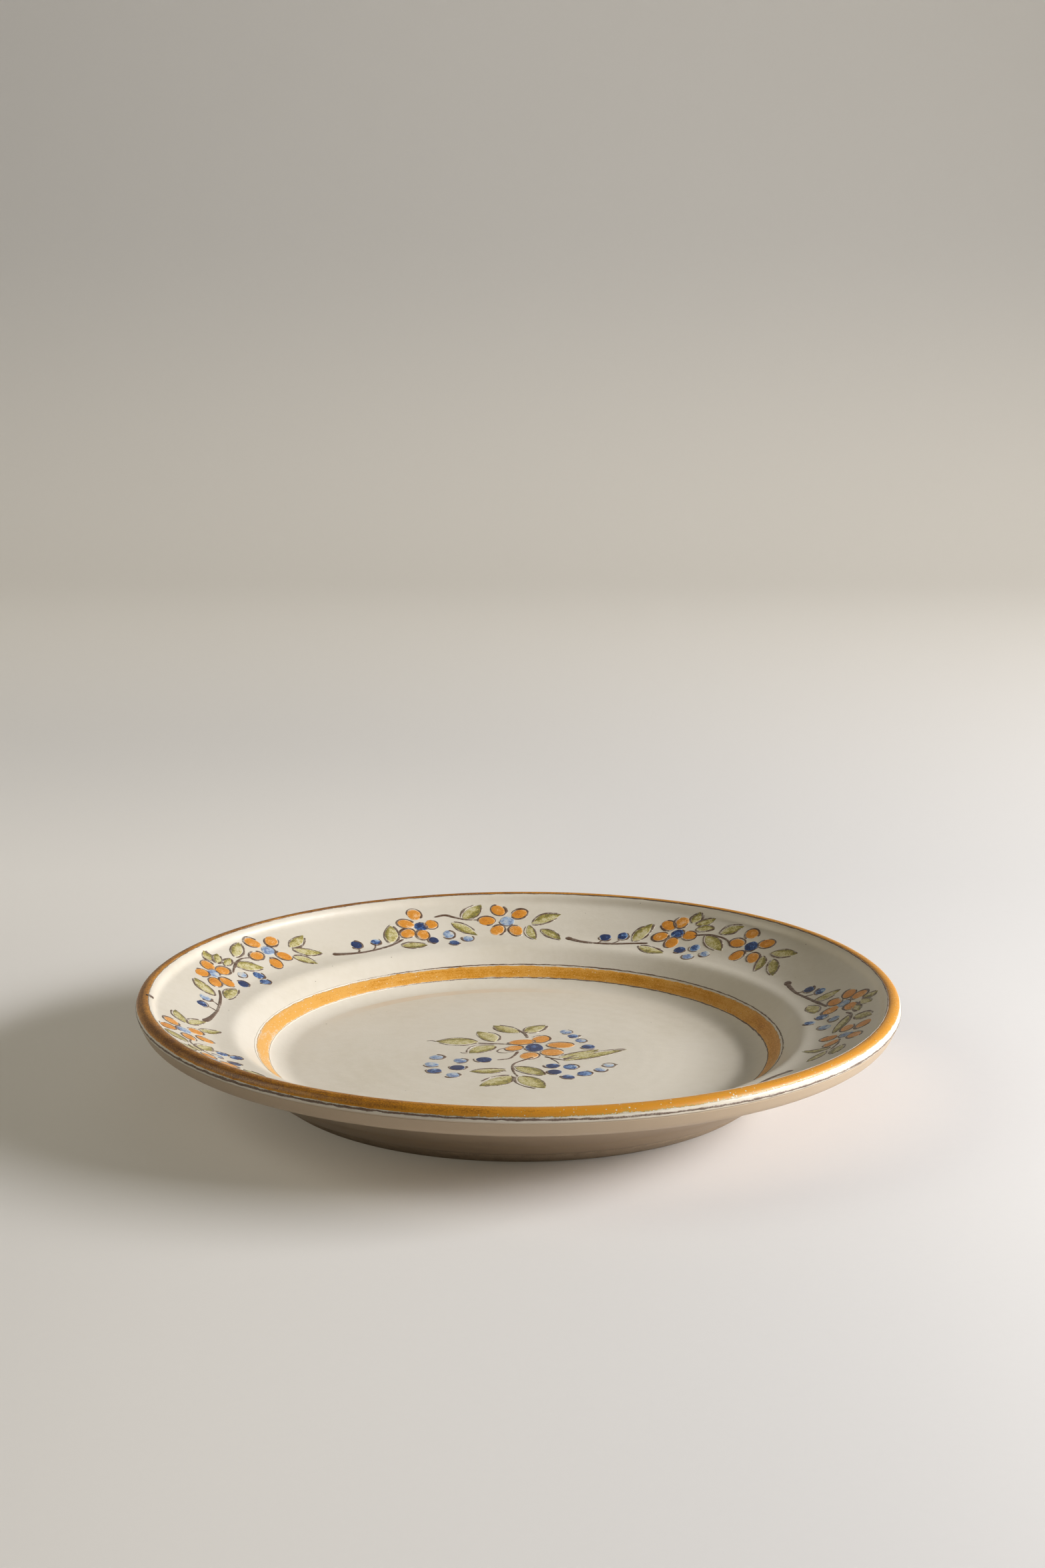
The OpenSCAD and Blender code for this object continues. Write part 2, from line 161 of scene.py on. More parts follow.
class Skin:
    """The glazed surface, as a path from the middle of the face over the lip to the middle of the back."""

    step = 0.25 * MM
    blur = 0.55 * MM
    # The throwing rings reach their full height at this radius, fade out over this length, and
    # end this far before the crest of the lip
    rings_full_r = 20 * MM
    rings_fade = 10 * MM
    rings_end = 9 * MM

    def __init__(self):
        clay = ring_corners("clay_body")
        coats = {n: ring_corners(n) for n in ("face_glaze", "back_glaze", "base_glaze")}
        foot = apart(clay, np.vstack(list(coats.values())))
        runs = [
            clockwise(apart(coats["face_glaze"], clay), (0.06, -0.2)),
            clockwise(apart(coats["back_glaze"], clay), (0.06, 0.12)),
            clockwise(foot, (0.085, 0.02)),
            clockwise(apart(coats["base_glaze"], clay), (0.04, 0.1)),
        ]
        path = np.vstack([(0, runs[0][0][1]), *runs, (0, runs[3][-1][1])])
        steps = np.r_[1, np.hypot(*np.diff(path, axis=0).T)]
        path = path[steps > SAME]
        s = np.r_[0, np.cumsum(np.hypot(*np.diff(path, axis=0).T))]

        def mark(a, b):
            place = (a + b) / 2
            return s[np.argmin(np.hypot(*(path - place).T))]

        self.rim_end = mark(runs[0][-1], runs[1][0])
        self.foot_out = mark(runs[1][-1], runs[2][0])
        self.foot_in = mark(runs[2][-1], runs[3][0])
        self.end = s[-1]
        self.s = np.linspace(0, self.end, int(self.end / self.step))
        reach = int(4 * self.blur / self.step)
        kernel = np.exp(-0.5 * (np.arange(-reach, reach + 1) * self.step / self.blur) ** 2)
        kernel /= kernel.sum()
        r = np.pad(np.interp(self.s, s, path[:, 0]), reach, mode="reflect", reflect_type="odd")
        z = np.pad(np.interp(self.s, s, path[:, 1]), reach, mode="reflect")
        self.r = np.convolve(r, kernel, "valid")
        self.z = np.convolve(z, kernel, "valid")
        tr, tz = np.gradient(self.r), np.gradient(self.z)
        size = np.hypot(tr, tz)
        self.nr, self.nz = -tz / size, tr / size
        self.crest = self.s[np.argmax(self.z)]
        self.plate_r = self.r.max()
        self.foot_r = np.interp(self.foot_out, self.s, self.r)

    def at_radius(self, r):
        """Path length at which the face reaches a radius."""
        face = self.s <= self.crest
        return np.interp(r, self.r[face], self.s[face])

    def span(self, node):
        """Path lengths of a painted CAD band's two edges."""
        near = [self.s[np.argmin(np.hypot(self.r - p[0], self.z - p[1]))] for p in ring_corners(node)]
        return min(near), max(near)

    def at(self, s, az, lift):
        """Points of the fired plate at path lengths s, azimuths az and a height over the glaze."""
        sizes = bpy.context.scene.plate_sizes
        r, z = np.interp(s, self.s, self.r), np.interp(s, self.s, self.z)
        nr, nz = np.interp(s, self.s, self.nr), np.interp(s, self.s, self.nz)
        inside = ease(r / self.rings_full_r) * ease((self.crest - self.rings_end - s) / self.rings_fade)
        turn = 2 * pi * s / sizes.ring_pitch
        rings = (np.sin(turn + az) + 0.8 * np.sin(turn * 0.41 - 2 * az + 1)
                 + 0.5 * np.sin(3 * az + turn * 0.13))
        off = lift + sizes.ring_h * inside * rings
        r, z = r + nr * off, z + nz * off
        bend = sin_sum(az, ((1, 1.0, 0), (2, 0.87, 0), (3, 0.3, 0))) - 1.8
        z = z + sizes.warp_h * bend * ease((r - self.foot_r) / (self.plate_r - self.foot_r))
        return np.stack([r * np.cos(az), r * np.sin(az), z], -1)


def ease(t):
    """A smooth step from 0 to 1."""
    t = np.clip(t, 0, 1)
    return t * t * (3 - 2 * t)


def sin_sum(a, waves):
    """A sum of sine waves, each given as count round the turn, size and phase."""
    return sum(size * np.sin(n * a + phase) for n, size, phase in waves)


# ---- Meshes ----

def new_piece(name, co, faces, material, slot, nodes=(), attributes=None, shell=None):
    """A smooth piece of the plate that rides on it and stands for some CAD nodes."""
    mesh = bpy.data.meshes.new(name)
    mesh.from_pydata(np.asarray(co).reshape(-1, 3).tolist(), [], faces)
    for key, values in (attributes or {}).items():
        data = mesh.attributes.new(key, "FLOAT", "POINT").data
        data.foreach_set("value", np.asarray(values, np.float32).ravel())
    mesh.shade_smooth()
    mesh.materials.append(material)
    piece = bpy.data.objects.new(name, mesh)
    bpy.context.scene.collection.objects.link(piece)
    if shell:
        solid = piece.modifiers.new("Thickness", "SOLIDIFY")
        solid.thickness, solid.offset = shell, -1
    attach(piece, "root")
    if nodes:
        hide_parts(*nodes)
    return piece


def grid_faces(rows, columns, closed, start=0):
    """Quads over a grid of points, joined round where it is closed."""
    wrap = columns if closed else columns - 1
    i, j = np.meshgrid(np.arange(rows - 1), np.arange(wrap), indexing="ij")
    a, b = start + i * columns + j, start + i * columns + (j + 1) % columns
    return np.stack([a, a + columns, b + columns, b], -1).reshape(-1, 4).tolist()


def turned(skin, s, count, lift=0.0, start_cap=False, end_cap=False):
    """Points and faces turned round the axis, along path lengths s."""
    az = np.arange(count) * 2 * pi / count
    co = skin.at(s[:, None], az[None, :], lift).reshape(-1, 3)
    faces = grid_faces(len(s), count, True)
    ring = np.arange(count)
    for wanted, first, way in ((start_cap, 0, 1), (end_cap, (len(s) - 1) * count, -1)):
        if wanted:
            middle = co[first:first + count].mean(0) * (0, 0, 1)
            edge = (first + ring, first + np.roll(ring, -1))[::way]
            faces += np.stack([*edge, np.full(count, len(co))], -1).tolist()
            co = np.vstack([co, middle])
    return co, faces


# ---- Brush strokes ----

def smooth_line(points, gap=0.6):
    """A smooth line through points, with its own points a steady gap apart."""
    p = np.asarray(points, float)
    if len(p) == 2:
        n = max(3, int(np.hypot(*(p[1] - p[0])) / gap) + 1)
        return p[0] + (p[1] - p[0]) * np.linspace(0, 1, n)[:, None]
    q = np.vstack([2 * p[0] - p[1], p, 2 * p[-1] - p[-2]])
    t = np.linspace(0, 1, 12, endpoint=False)[:, None]
    parts = [
        0.5 * (2 * q[i] + (q[i + 1] - q[i - 1]) * t
               + (2 * q[i - 1] - 5 * q[i] + 4 * q[i + 1] - q[i + 2]) * t ** 2
               + (3 * q[i] - q[i - 1] - 3 * q[i + 1] + q[i + 2]) * t ** 3)
        for i in range(1, len(q) - 2)
    ]
    line = np.vstack(parts + [p[-1:]])
    length = np.r_[0, np.cumsum(np.hypot(*np.diff(line, axis=0).T))]
    n = max(4, int(length[-1] / gap) + 1)
    even = np.linspace(0, length[-1], n)
    return np.c_[np.interp(even, length, line[:, 0]), np.interp(even, length, line[:, 1])]


def leaf_shape(p, q, w, bow):
    """Outline of a leaf from its base p to its tip q, as wide as w."""
    p, q = np.asarray(p, float), np.asarray(q, float)
    along, length = (q - p), np.hypot(*(q - p))
    side = np.array([-along[1], along[0]]) / length
    t = (1 - np.cos(np.linspace(0, pi, 22))) / 2
    half = w / 2 * np.sin(pi * t ** 0.88) ** 0.8
    mid = p + along * t[:, None] + side * (bow * length * np.sin(pi * t))[:, None]
    right, left = mid - side * half[:, None], mid + side * half[:, None]
    return np.vstack([right, left[-2:0:-1]])


def on_oval(a, c, rx, ry, tilt):
    """Points at the angles a round an oval about c, rx and ry in its half widths."""
    x, y = rx * np.cos(a), ry * np.sin(a)
    return np.c_[c[0] + x * cos(tilt) - y * sin(tilt), c[1] + x * sin(tilt) + y * cos(tilt)]


def round_shape(c, rx, ry, tilt=0.0):
    """Outline of a round dab."""
    return on_oval(np.linspace(0, 2 * pi, 30, endpoint=False), c, rx, ry, tilt)


class Brush:
    """Gathers strokes of one colour and makes them one piece."""

    def __init__(self, name, seed):
        self.name = name
        self.rng = np.random.default_rng(seed)
        self.co, self.faces, self.ink, self.across = [], [], [], []
        self.count = 0

    def add(self, co, faces, ink, across):
        self.co.append(co)
        self.ink.append(ink)
        self.across.append(across)
        self.faces += [[self.count + i for i in f] for f in faces]
        self.count += len(co)

    def waver(self, n, size, waves=(2, 3, 5, 7)):
        """A gentle random wave round n points."""
        a = np.linspace(0, 2 * pi, n, endpoint=False)
        return sum(self.rng.normal(0, size / k) * np.sin(k * a + self.rng.uniform(0, 6.3))
                   for k in waves)

    def dab(self, place, outline, ink, fade=0.25, rough=0.05, spot=None):
        """One press of the brush inside an outline. The ink is a number or a function of the
        points, and the spot is a paler place: where it is, how wide and how pale."""
        sizes = bpy.context.scene.plate_sizes
        c = outline.mean(0)
        arm = (outline - c) * (1 + self.waver(len(outline), rough))[:, None]
        shares = np.array([0.3, 0.58, 0.8, 0.93, 1.0])
        pts = np.vstack([c[None]] + [c + f * arm for f in shares])
        f = np.r_[0, np.repeat(shares, len(outline))]
        lift = sizes.paint_t * (0.2 + 0.75 * (1 - f ** 3))
        tone = ink(pts) if callable(ink) else np.full(len(pts), float(ink))
        tone = tone - fade * ease((f - 0.72) / 0.28)
        if spot is not None:
            (sx, sy), spread, drop = spot
            tone = tone - drop * np.exp(-((pts[:, 0] - sx) ** 2 + (pts[:, 1] - sy) ** 2) / spread ** 2)
        n = len(outline)
        x, y = outline[:, 0], outline[:, 1]
        turn = np.sum(x * np.roll(y, -1) - y * np.roll(x, -1))
        faces = [[0, 1 + i, 1 + (i + 1) % n] for i in range(n)] + grid_faces(len(shares), n, True, 1)
        if turn < 0:
            faces = [f[::-1] for f in faces]
        self.add(place(pts[:, 0], pts[:, 1], lift), faces, tone, f)

    def stroke(self, place, line, width, ink=0.7, press=(1, 1)):
        """One pull of the brush along a line. The press gives the width's share along it."""
        sizes = bpy.context.scene.plate_sizes
        n = len(line)
        t = np.linspace(0, 1, n)
        tangent = np.gradient(line, axis=0)
        tangent /= np.maximum(np.hypot(*tangent.T), 1e-9)[:, None]
        side = np.c_[-tangent[:, 1], tangent[:, 0]]
        length = np.hypot(*np.diff(line, axis=0).T).sum()
        share = np.interp(t, np.linspace(0, 1, len(press)), press)
        share = share * (1 + self.waver(n, 0.12, (1, 2, 3, 5, 8)))
        for end in (t, 1 - t):
            near = np.clip(end * length / (0.5 * width + 1e-9), 0, 1)
            share = share * np.maximum(np.sqrt(1 - (1 - near) ** 2), 0.12)
        v = np.array([-1, -0.55, 0, 0.55, 1])
        half = width / 2 * np.maximum(share, 0.1)
        pts = line[:, None] + side[:, None] * (half[:, None] * v)[:, :, None]
        lift = sizes.paint_t * (0.22 + 0.7 * (1 - np.abs(v) ** 3)) + 0 * half[:, None]
        tone = ink + self.waver(n, 0.1, (1, 2, 4))[:, None] - 0.25 * np.abs(v) ** 3
        across = np.abs(v) + 0 * half[:, None]
        co = place(pts[..., 0].ravel(), pts[..., 1].ravel(), lift.ravel())
        self.add(co, grid_faces(n, len(v), False), tone.ravel(), across.ravel())

    def piece(self, material, slot, nodes=()):
        return new_piece(self.name, np.vstack(self.co), self.faces, material, slot, nodes,
                         {"ink": np.concatenate(self.ink), "across": np.concatenate(self.across)},
                         shell=PAINT_ROOT)


# ---- Materials ----

def add_node(tree, kind, links=None, out=0, **settings):
    """Adds a node with its settings, links or fills its sockets, and gives one of its outputs."""
    node = tree.nodes.new("ShaderNode" + kind)
    for key, value in settings.items():
        setattr(node, key, value)
    for key, value in (links or {}).items():
        if isinstance(value, bpy.types.NodeSocket):
            tree.links.new(value, node.inputs[key])
        else:
            node.inputs[key].default_value = value
    return node.outputs[out] if node.outputs else None


def set_ramp(socket, *stops):
    """Sets the stops, each a place and a colour, of the colour ramp that gives a socket."""
    elements = socket.node.color_ramp.elements
    while len(elements) > 1:
        elements.remove(elements[0])
    elements[0].position, elements[0].color = stops[0]
    for place, colour in stops[1:]:
        elements.new(place).color = colour


def new_material(name):
    """An empty material, the function that adds its nodes, and the places its patterns follow."""
    material = bpy.data.materials.new(name)
    material.use_nodes = True
    material.node_tree.nodes.clear()
    add = partial(add_node, material.node_tree)
    return material, add, add("TexCoord", out="Object")


def tinted(colour, *gains):
    """A colour with its red, green and blue each scaled by a gain."""
    return tuple(v * gain for v, gain in zip(colour, gains)) + (1.0,)


def finish(add, colour, roughness, bump, depth):
    """Gives a fired surface its colour, its roughness and its small unevenness."""
    normal = add("Bump", {"Height": bump, "Distance": depth})
    shader = add("BsdfPrincipled", {"Base Color": colour, "Roughness": roughness, "IOR": 1.5,
                                    "Normal": normal})
    add("OutputMaterial", {"Surface": shader})


def specks(add, where, pitch, share, size, edge, strength):
    """Scattered round specks. A share of the cells, a pitch in mm apart, holds one, and the size
    and the two distances of its soft edge are parts of that pitch."""
    cells = add("TexVoronoi", {"Vector": where, "Scale": 1000 / pitch})
    chance = add("SeparateColor", {"Color": cells.node.outputs["Color"]})
    radius = add("MapRange", {"Value": chance, "From Min": 1 - share, "To Max": size})
    inside = add("Math", {0: radius, 1: cells}, operation="SUBTRACT")
    return add("MapRange", {"Value": inside, "From Min": edge[0], "From Max": edge[1], "To Max": strength})


def tin_glaze(colours):
    """Tin glazed buff earthenware, dipped and fired. It gives the eye a warm cream gloss with
    soft mottling, iron specks from the clay and a trace of the banding brush in the well."""
    material, add, where = new_material("cream_tin_glaze")
    # Clouds 38 mm across, mottling of 2.6 mm, a worn brush trace of 9 mm, duller places of 6 mm,
    # orange peel of 5 mm and pinholes of under 1 mm
    broad, small, worn, dull, peel, pits = (
        add("TexNoise", {"Vector": where, "Scale": 1000 / mm, "Detail": detail})
        for mm, detail in ((38, 2), (2.6, 4), (9, 3), (6, 3), (5, 2), (0.9, 3)))
    mottle = add("Math", {0: small, 1: 0.5, 2: broad}, operation="MULTIPLY_ADD")
    base = add("ValToRGB", {"Fac": mottle})
    set_ramp(base, (0.45, tinted(colours.cream, 0.94, 0.93, 0.9)), (0.75, tinted(colours.cream, 1, 1, 1)),
             (1.0, tinted(colours.cream, 1.03, 1.035, 1.05)))
    # The trace that the banding brush left inside the well band, only at the back and the left
    trace_r, trace_half = 79.5 * MM, 2.2 * MM
    parts = add("SeparateXYZ", {"Vector": where}).node.outputs
    flat = add("CombineXYZ", {"X": parts["X"], "Y": parts["Y"]})
    radius = add("VectorMath", {0: flat}, out="Value", operation="LENGTH")
    trace = add("MapRange", {"Value": parts["Y"], "From Min": 0.03, "From Max": 0.075, "To Max": 0.5},
                interpolation_type="SMOOTHSTEP")
    left = add("MapRange", {"Value": parts["X"], "From Min": 0.03, "From Max": -0.03})
    near = add("Math", {0: radius, 1: trace_r, 2: trace_half}, operation="COMPARE")
    for share in (worn, left, near):
        trace = add("Math", {0: trace, 1: share}, operation="MULTIPLY")
    # The coat is thin on the rim's lower edge, where the plate was held and dipped again; there it takes the
    # back glaze's colour, which is partly painted shade
    thin = add("Attribute", out="Fac", attribute_name="thin")
    # Iron specks up to about 0.5 mm across, a few dozen over the face
    speck = specks(add, where, 5.5, 0.28, 0.06, (-0.008, 0.02), 0.75)
    colour = base
    for share, over in ((trace, linear("D9A765")), (thin, tuple(colours.back)), (speck, linear("6E5B48"))):
        colour = add("Mix", {0: share, 6: colour, 7: over}, out=2, data_type="RGBA")
    roughness = add("MapRange", {"Value": dull, "From Min": 0.3, "From Max": 0.7,
                                 "To Min": 0.3, "To Max": 0.4})
    bump = add("Math", {0: pits, 1: 0.5, 2: peel}, operation="MULTIPLY_ADD")
    finish(add, colour, roughness, bump, 0.06 * MM)
    return material


def back_glaze(colours):
    """The same tin glaze where the plate's back was dipped only once. It gives the eye a duller coat that the
    buff clay warms, darker towards the foot, with the turning tool's fine marks. Part of that darkening is
    painted shade under the plate."""
    material, add, where = new_material("thin_glaze_painted_shade")
    # Darker from the rim, 26 mm up, down to the foot: the coat thins, and part of the darkening is painted
    # shade under the plate
    parts = add("SeparateXYZ", {"Vector": where}).node.outputs
    height = add("MapRange", {"Value": parts["Z"], "From Max": 26 * MM})
    cloud = add("TexNoise", {"Vector": where, "Scale": 1000 / 14, "Detail": 4})
    # Marks 1.3 mm apart down the turned wall
    level = add("Math", {0: parts["Z"], 1: 1000.0}, operation="MULTIPLY")
    marks = add("TexNoise", {"W": level, "Scale": 1 / 1.3, "Detail": 2}, noise_dimensions="1D")
    coat = add("Math", {0: cloud, 1: 0.3, 2: height}, operation="MULTIPLY_ADD")
    coat = add("Math", {0: marks, 1: 0.2, 2: coat}, operation="MULTIPLY_ADD")
    # The darker stops are partly painted shade of the plate's underside
    base = add("ValToRGB", {"Fac": coat})
    set_ramp(base, (0.2, tinted(colours.back, 0.72, 0.7, 0.66)), (0.9, tinted(colours.back, 0.84, 0.82, 0.8)),
             (1.0, tuple(colours.back)))
    # Iron specks up to about 0.4 mm across
    speck = specks(add, where, 4.5, 0.2, 0.06, (-0.008, 0.02), 0.7)
    colour = add("Mix", {0: speck, 6: base, 7: linear("5C4938")}, out=2, data_type="RGBA")
    roughness = add("MapRange", {"Value": cloud, "From Min": 0.3, "From Max": 0.7,
                                 "To Min": 0.38, "To Max": 0.5})
    bump = add("Math", {0: marks, 1: 0.6, 2: cloud}, operation="MULTIPLY_ADD")
    finish(add, colour, roughness, bump, 0.08 * MM)
    return material


def oxide_paint(name, stops, patch, mottle=1.2, fleck=1.0, streak=0.0, grains_and_glints=0.0, roughness=0.36):
    """An oxide brushed on the raw glaze and fired into it. The ink on each stroke, with patches as
    the brush leaves them, runs from bare glaze through thin wash to pooled paint."""
    material, add, where = new_material(name)
    ink = add("Attribute", out="Fac", attribute_name="ink")
    # Patches of the oxide's own width in mm, and grains of 0.5 mm
    patches, grains = (add("TexNoise", {"Vector": where, "Scale": 1000 / mm, "Detail": 2})
                       for mm in (patch, 0.5))
    terms = [(patches, mottle), (grains, fleck)]
    if streak:
        # Hair marks 0.9 mm apart across the stroke, drawn out about fourteen times along it
        across = add("Attribute", out="Fac", attribute_name="across")
        parts = add("SeparateXYZ", {"Vector": where}).node.outputs
        x, y, z = (add("Math", {0: source, 1: gain}, operation="MULTIPLY")
                   for source, gain in ((parts["X"], 0.07), (parts["Y"], 0.07), (across, MM)))
        drawn = add("CombineXYZ", {"X": x, "Y": y, "Z": z})
        terms.append((add("TexNoise", {"Vector": drawn, "Scale": 1000 / 0.9, "Detail": 3}), streak))
    density = add("Math", {0: ink, 1: sum(weight for _, weight in terms) / 2}, operation="SUBTRACT")
    for source, weight in terms:
        density = add("Math", {0: source, 1: weight, 2: density}, operation="MULTIPLY_ADD")
    if grains_and_glints:
        # Pale grains up to about 0.5 mm across, most open where the paint is thin: grains of bare glaze in
        # the well band, and painted glints on the lip
        grain_and_glint = specks(add, where, 1.0, grains_and_glints, 0.3, (-0.05, 0.1), -0.9)
        bare = add("Math", {0: 1.0, 1: ink}, operation="SUBTRACT", use_clamp=True)
        density = add("Math", {0: grain_and_glint, 1: bare, 2: density}, operation="MULTIPLY_ADD")
    colour = add("ValToRGB", {"Fac": density})
    set_ramp(colour, *stops)
    gloss = add("MapRange", {"Value": grains, "From Min": 0.3, "From Max": 0.7,
                             "To Min": roughness - 0.05, "To Max": roughness + 0.08})
    finish(add, colour, gloss, density, 0.02 * MM)
    return material


def biscuit(colours):
    """Buff earthenware biscuit, thrown, turned and sponged. It gives the eye a dry open grain where
    the foot ring was wiped free of glaze."""
    material, add, where = new_material("buff_biscuit")
    # Clouding of 4 mm over grit of 0.5 mm
    cloud, grit = (add("TexNoise", {"Vector": where, "Scale": 1000 / mm, "Detail": 3}) for mm in (4, 0.5))
    grain = add("Math", {0: grit, 1: 0.8, 2: cloud}, operation="MULTIPLY_ADD")
    colour = add("ValToRGB", {"Fac": grain})
    dark, light = (tinted(colours.biscuit, gain, gain, gain) for gain in (0.8, 1.05))
    set_ramp(colour, (0.6, dark), (1.0, light))
    finish(add, colour, 0.85, grain, 0.15 * MM)
    return material


def pale_paper(stage):
    """A matt paper sweep, rolled out under the plate. It gives the eye a quiet pale ground. A light
    that only the eye, gloss and glass meet stands for the room's own light on the far wall and on
    the shaded left of the floor, so nothing more falls on the plate."""
    material, add, where = new_material("matt_pale_paper")
    # Paper grain of 3 mm
    grain = add("TexNoise", {"Vector": where, "Scale": 1000 / 3, "Detail": 3})
    tint = add("ValToRGB", {"Fac": grain})
    set_ramp(tint, (0.0, tinted(stage.floor, 0.985, 0.985, 0.985)), (1.0, tuple(stage.floor)))
    # The sheet is painted lighter at the front and the right and darker at the left: painted light and shade,
    # as the lamps' light falls off across it
    parts = add("SeparateXYZ", {"Vector": where}).node.outputs
    front = add("MapRange", {"Value": parts["Y"], "From Min": 0.3, "From Max": -0.1})
    right = add("MapRange", {"Value": parts["X"], "From Min": -0.25, "From Max": 0.2,
                             "To Min": -0.27, "To Max": 0.11})
    gain = add("Math", {0: front, 1: right, 2: 1.0}, operation="MULTIPLY_ADD")
    sheet = add("VectorMath", {0: tint, "Scale": gain}, operation="SCALE")
    paper = add("BsdfPrincipled", {"Base Color": sheet, "Roughness": 0.9, "Specular IOR Level": 0.2})
    # How the room's light rises away from the plate, to the right and towards the floor
    far_off, low, near, left = (
        add("MapRange", {"Value": parts[axis], "From Min": start, "From Max": end, "To Min": a, "To Max": b},
            interpolation_type="SMOOTHSTEP")
        for axis, start, end, a, b in (("Y", 0.1, 1.25, 0, stage.glow), ("Z", 0, 0.35, 1, 0.5),
                                       ("Y", 0.7, 0.2, 0, stage.glow), ("X", 0.12, -0.12, 0, 0.12)))
    across = add("MapRange", {"Value": parts["X"], "From Min": -0.65, "From Max": 0.65,
                              "To Min": 0.16, "To Max": 0.24})
    glow = far_off
    for share in (across, low):
        glow = add("Math", {0: glow, 1: share}, operation="MULTIPLY")
    glow = add("Math", {0: near, 1: left, 2: glow}, operation="MULTIPLY_ADD")
    ray = add("LightPath").node.outputs
    seen = ray["Is Camera Ray"]
    for kind in ("Glossy", "Transmission"):
        seen = add("Math", {0: seen, 1: ray[f"Is {kind} Ray"]})
    glow = add("Math", {0: glow, 1: seen}, operation="MULTIPLY")
    lit = add("Emission", {"Color": (1.0, 0.88, 0.67, 1.0), "Strength": glow})
    add("OutputMaterial", {"Surface": add("AddShader", {0: paper, 1: lit})})
    return material


# Each oxide: its material's name, its texture, and its colour from bare glaze to pooled paint as
# density, the paint mixed in and how far it covers the cream
OXIDES = {
    # Manganese brown, drawn thin with a pointed brush: matt-edged, broken where the brush ran dry
    "brown": ("manganese_brown", dict(patch=1.6), (
        (0.0, "brown", 0.0), (0.16, "brown", 0.4), (0.42, "brown", 0.85), (0.8, "brown", 1.0))),
    # Copper and ochre wash: straw where thin, olive and moss where the brush stopped
    "olive": ("copper_olive_wash", dict(patch=1.8, mottle=0.9), (
        (0.0, "straw", 0.4), (0.26, "straw", 1.0), (0.5, "olive", 1.0), (0.72, "moss", 0.9),
        (1.0, "moss", 1.0))),
    # Iron orange wash: apricot where thin, rust where it pooled
    "orange": ("iron_orange_wash", dict(patch=2.0, mottle=0.8), (
        (0.0, "apricot", 0.5), (0.24, "apricot", 1.0), (0.46, "orange", 1.0), (0.72, "orange", 1.0),
        (1.0, "rust", 1.0))),
    # Thin cobalt: lets the cream through
    "pale_blue": ("thin_cobalt_wash", dict(patch=1.6), (
        (0.0, "pale_blue", 0.2), (0.28, "pale_blue", 0.9), (0.5, "blue", 0.8), (0.7, "blue", 1.0),
        (0.95, "dark_blue", 1.0))),
    # Full cobalt: deep blue, paler at the edges and where the brush skipped
    "dark_blue": ("full_cobalt", dict(patch=1.6), (
        (0.0, "pale_blue", 0.4), (0.25, "pale_blue", 1.0), (0.45, "blue", 1.0), (0.72, "dark_blue", 1.0))),
    # Iron and antimony ochre, laid as the plate turned: streaks run round it, cream grains show through
    "ochre": ("ochre_banding", dict(patch=5.0, mottle=0.35, fleck=0.7, streak=0.5, grains_and_glints=0.6), (
        (0.0, "amber", 0.3), (0.16, "amber", 1.0), (0.36, "amber", 1.0), (0.58, "ochre", 1.0),
        (1.0, "umber", 1.0))),
    # The same ochre on the lip, where it broke into a yellow fringe and browned; most of the browning, on the
    # left and at the back, is painted shade, and its pale grains, most on the right, are painted glints
    "rim_ochre": ("ochre_on_lip", dict(
        patch=4.0, mottle=0.3, fleck=0.7, streak=0.4, grains_and_glints=0.8, roughness=0.4), (
            (0.0, "fringe", 0.15), (0.14, "fringe", 1.0), (0.3, "ochre", 1.0), (0.5, "ochre", 1.0),
            (0.9, "umber", 1.0))),
    # The same manganese, run round the turning plate with a fuller brush
    "line": ("manganese_line", dict(patch=7.0, mottle=0.35, fleck=0.55), (
        (0.0, "brown", 0.0), (0.14, "brown", 0.4), (0.34, "brown", 0.9), (0.8, "brown", 1.0))),
}


def oxide(kind):
    """The painter's oxide of that kind, mixed once and shared by all its strokes."""
    name, texture, recipe = OXIDES[kind]
    if name in bpy.data.materials:
        return bpy.data.materials[name]
    colours = bpy.context.scene.plate_colours
    cream = Vector(colours.cream)
    stops = [(place, tuple(cream.lerp(Vector(getattr(colours, paint)), share)))
             for place, paint, share in recipe]
    return oxide_paint(name, stops, **texture)


# ---- The painter's pattern ----
# A spray is drawn in millimetres: x runs clockwise round the flange from the foot of its stem, and
# y outwards from the flange's middle. Tones run from 0, thin wash, to 1, full paint.

SPRAY_B = {
    "stem": [(0, -6.7), (2.9, -7.6), (7.1, -8.6), (12.9, -9.3), (18.6, -9), (24.3, -8.1), (29.3, -6.4),
             (33.6, -4.3)],
    "foot": 1.5,
    "links": [[(49.6, 7.4), (54, 8.2), (57.6, 6.4), (62, 4.6), (66.5, 4.2)]],
    "twigs": [[(10.2, -8.8), (11.6, -7.6), (12.2, -6)], [(17.6, -8.9), (19.4, -7.2), (20.4, -5.6)]],
    "berries": [(12.4, -3.7, 2.7, 0.95), (21.3, -3.6, 2.3, 0.55), (46.1, -7, 2.6, 0.95),
                (52.9, -4.1, 2.8, 0.4), (54.3, -10, 2.5, 0.7), (60.6, -7.4, 2.6, 0.45)],
    "leaves": [(27.3, -6.1, 31.9, 5.3, 5.7), (30.7, -8.3, 42.6, -9.9, 5), (55.7, 3.6, 65.2, -5, 4.9),
               (60, 5, 68.2, 14.2, 6), (87.6, 0.9, 99, 7.3, 5.4), (86, 0.4, 89.6, -9.4, 4.2),
               (91, -2.2, 100.4, -8.9, 4.2)],
    "flowers": [(43, 2.3, 2.6, 0.75, [(42.6, 10.3), (37.6, 5), (36.6, -1), (42.4, -2.9), (47.5, 2.8)]),
                (77.7, 2.9, 2.9, 0.4, [(74.6, 9.9), (69.8, 3.4), (73.9, -2.5), (81.1, -2.9),
                (82.6, 7.3)])],
}
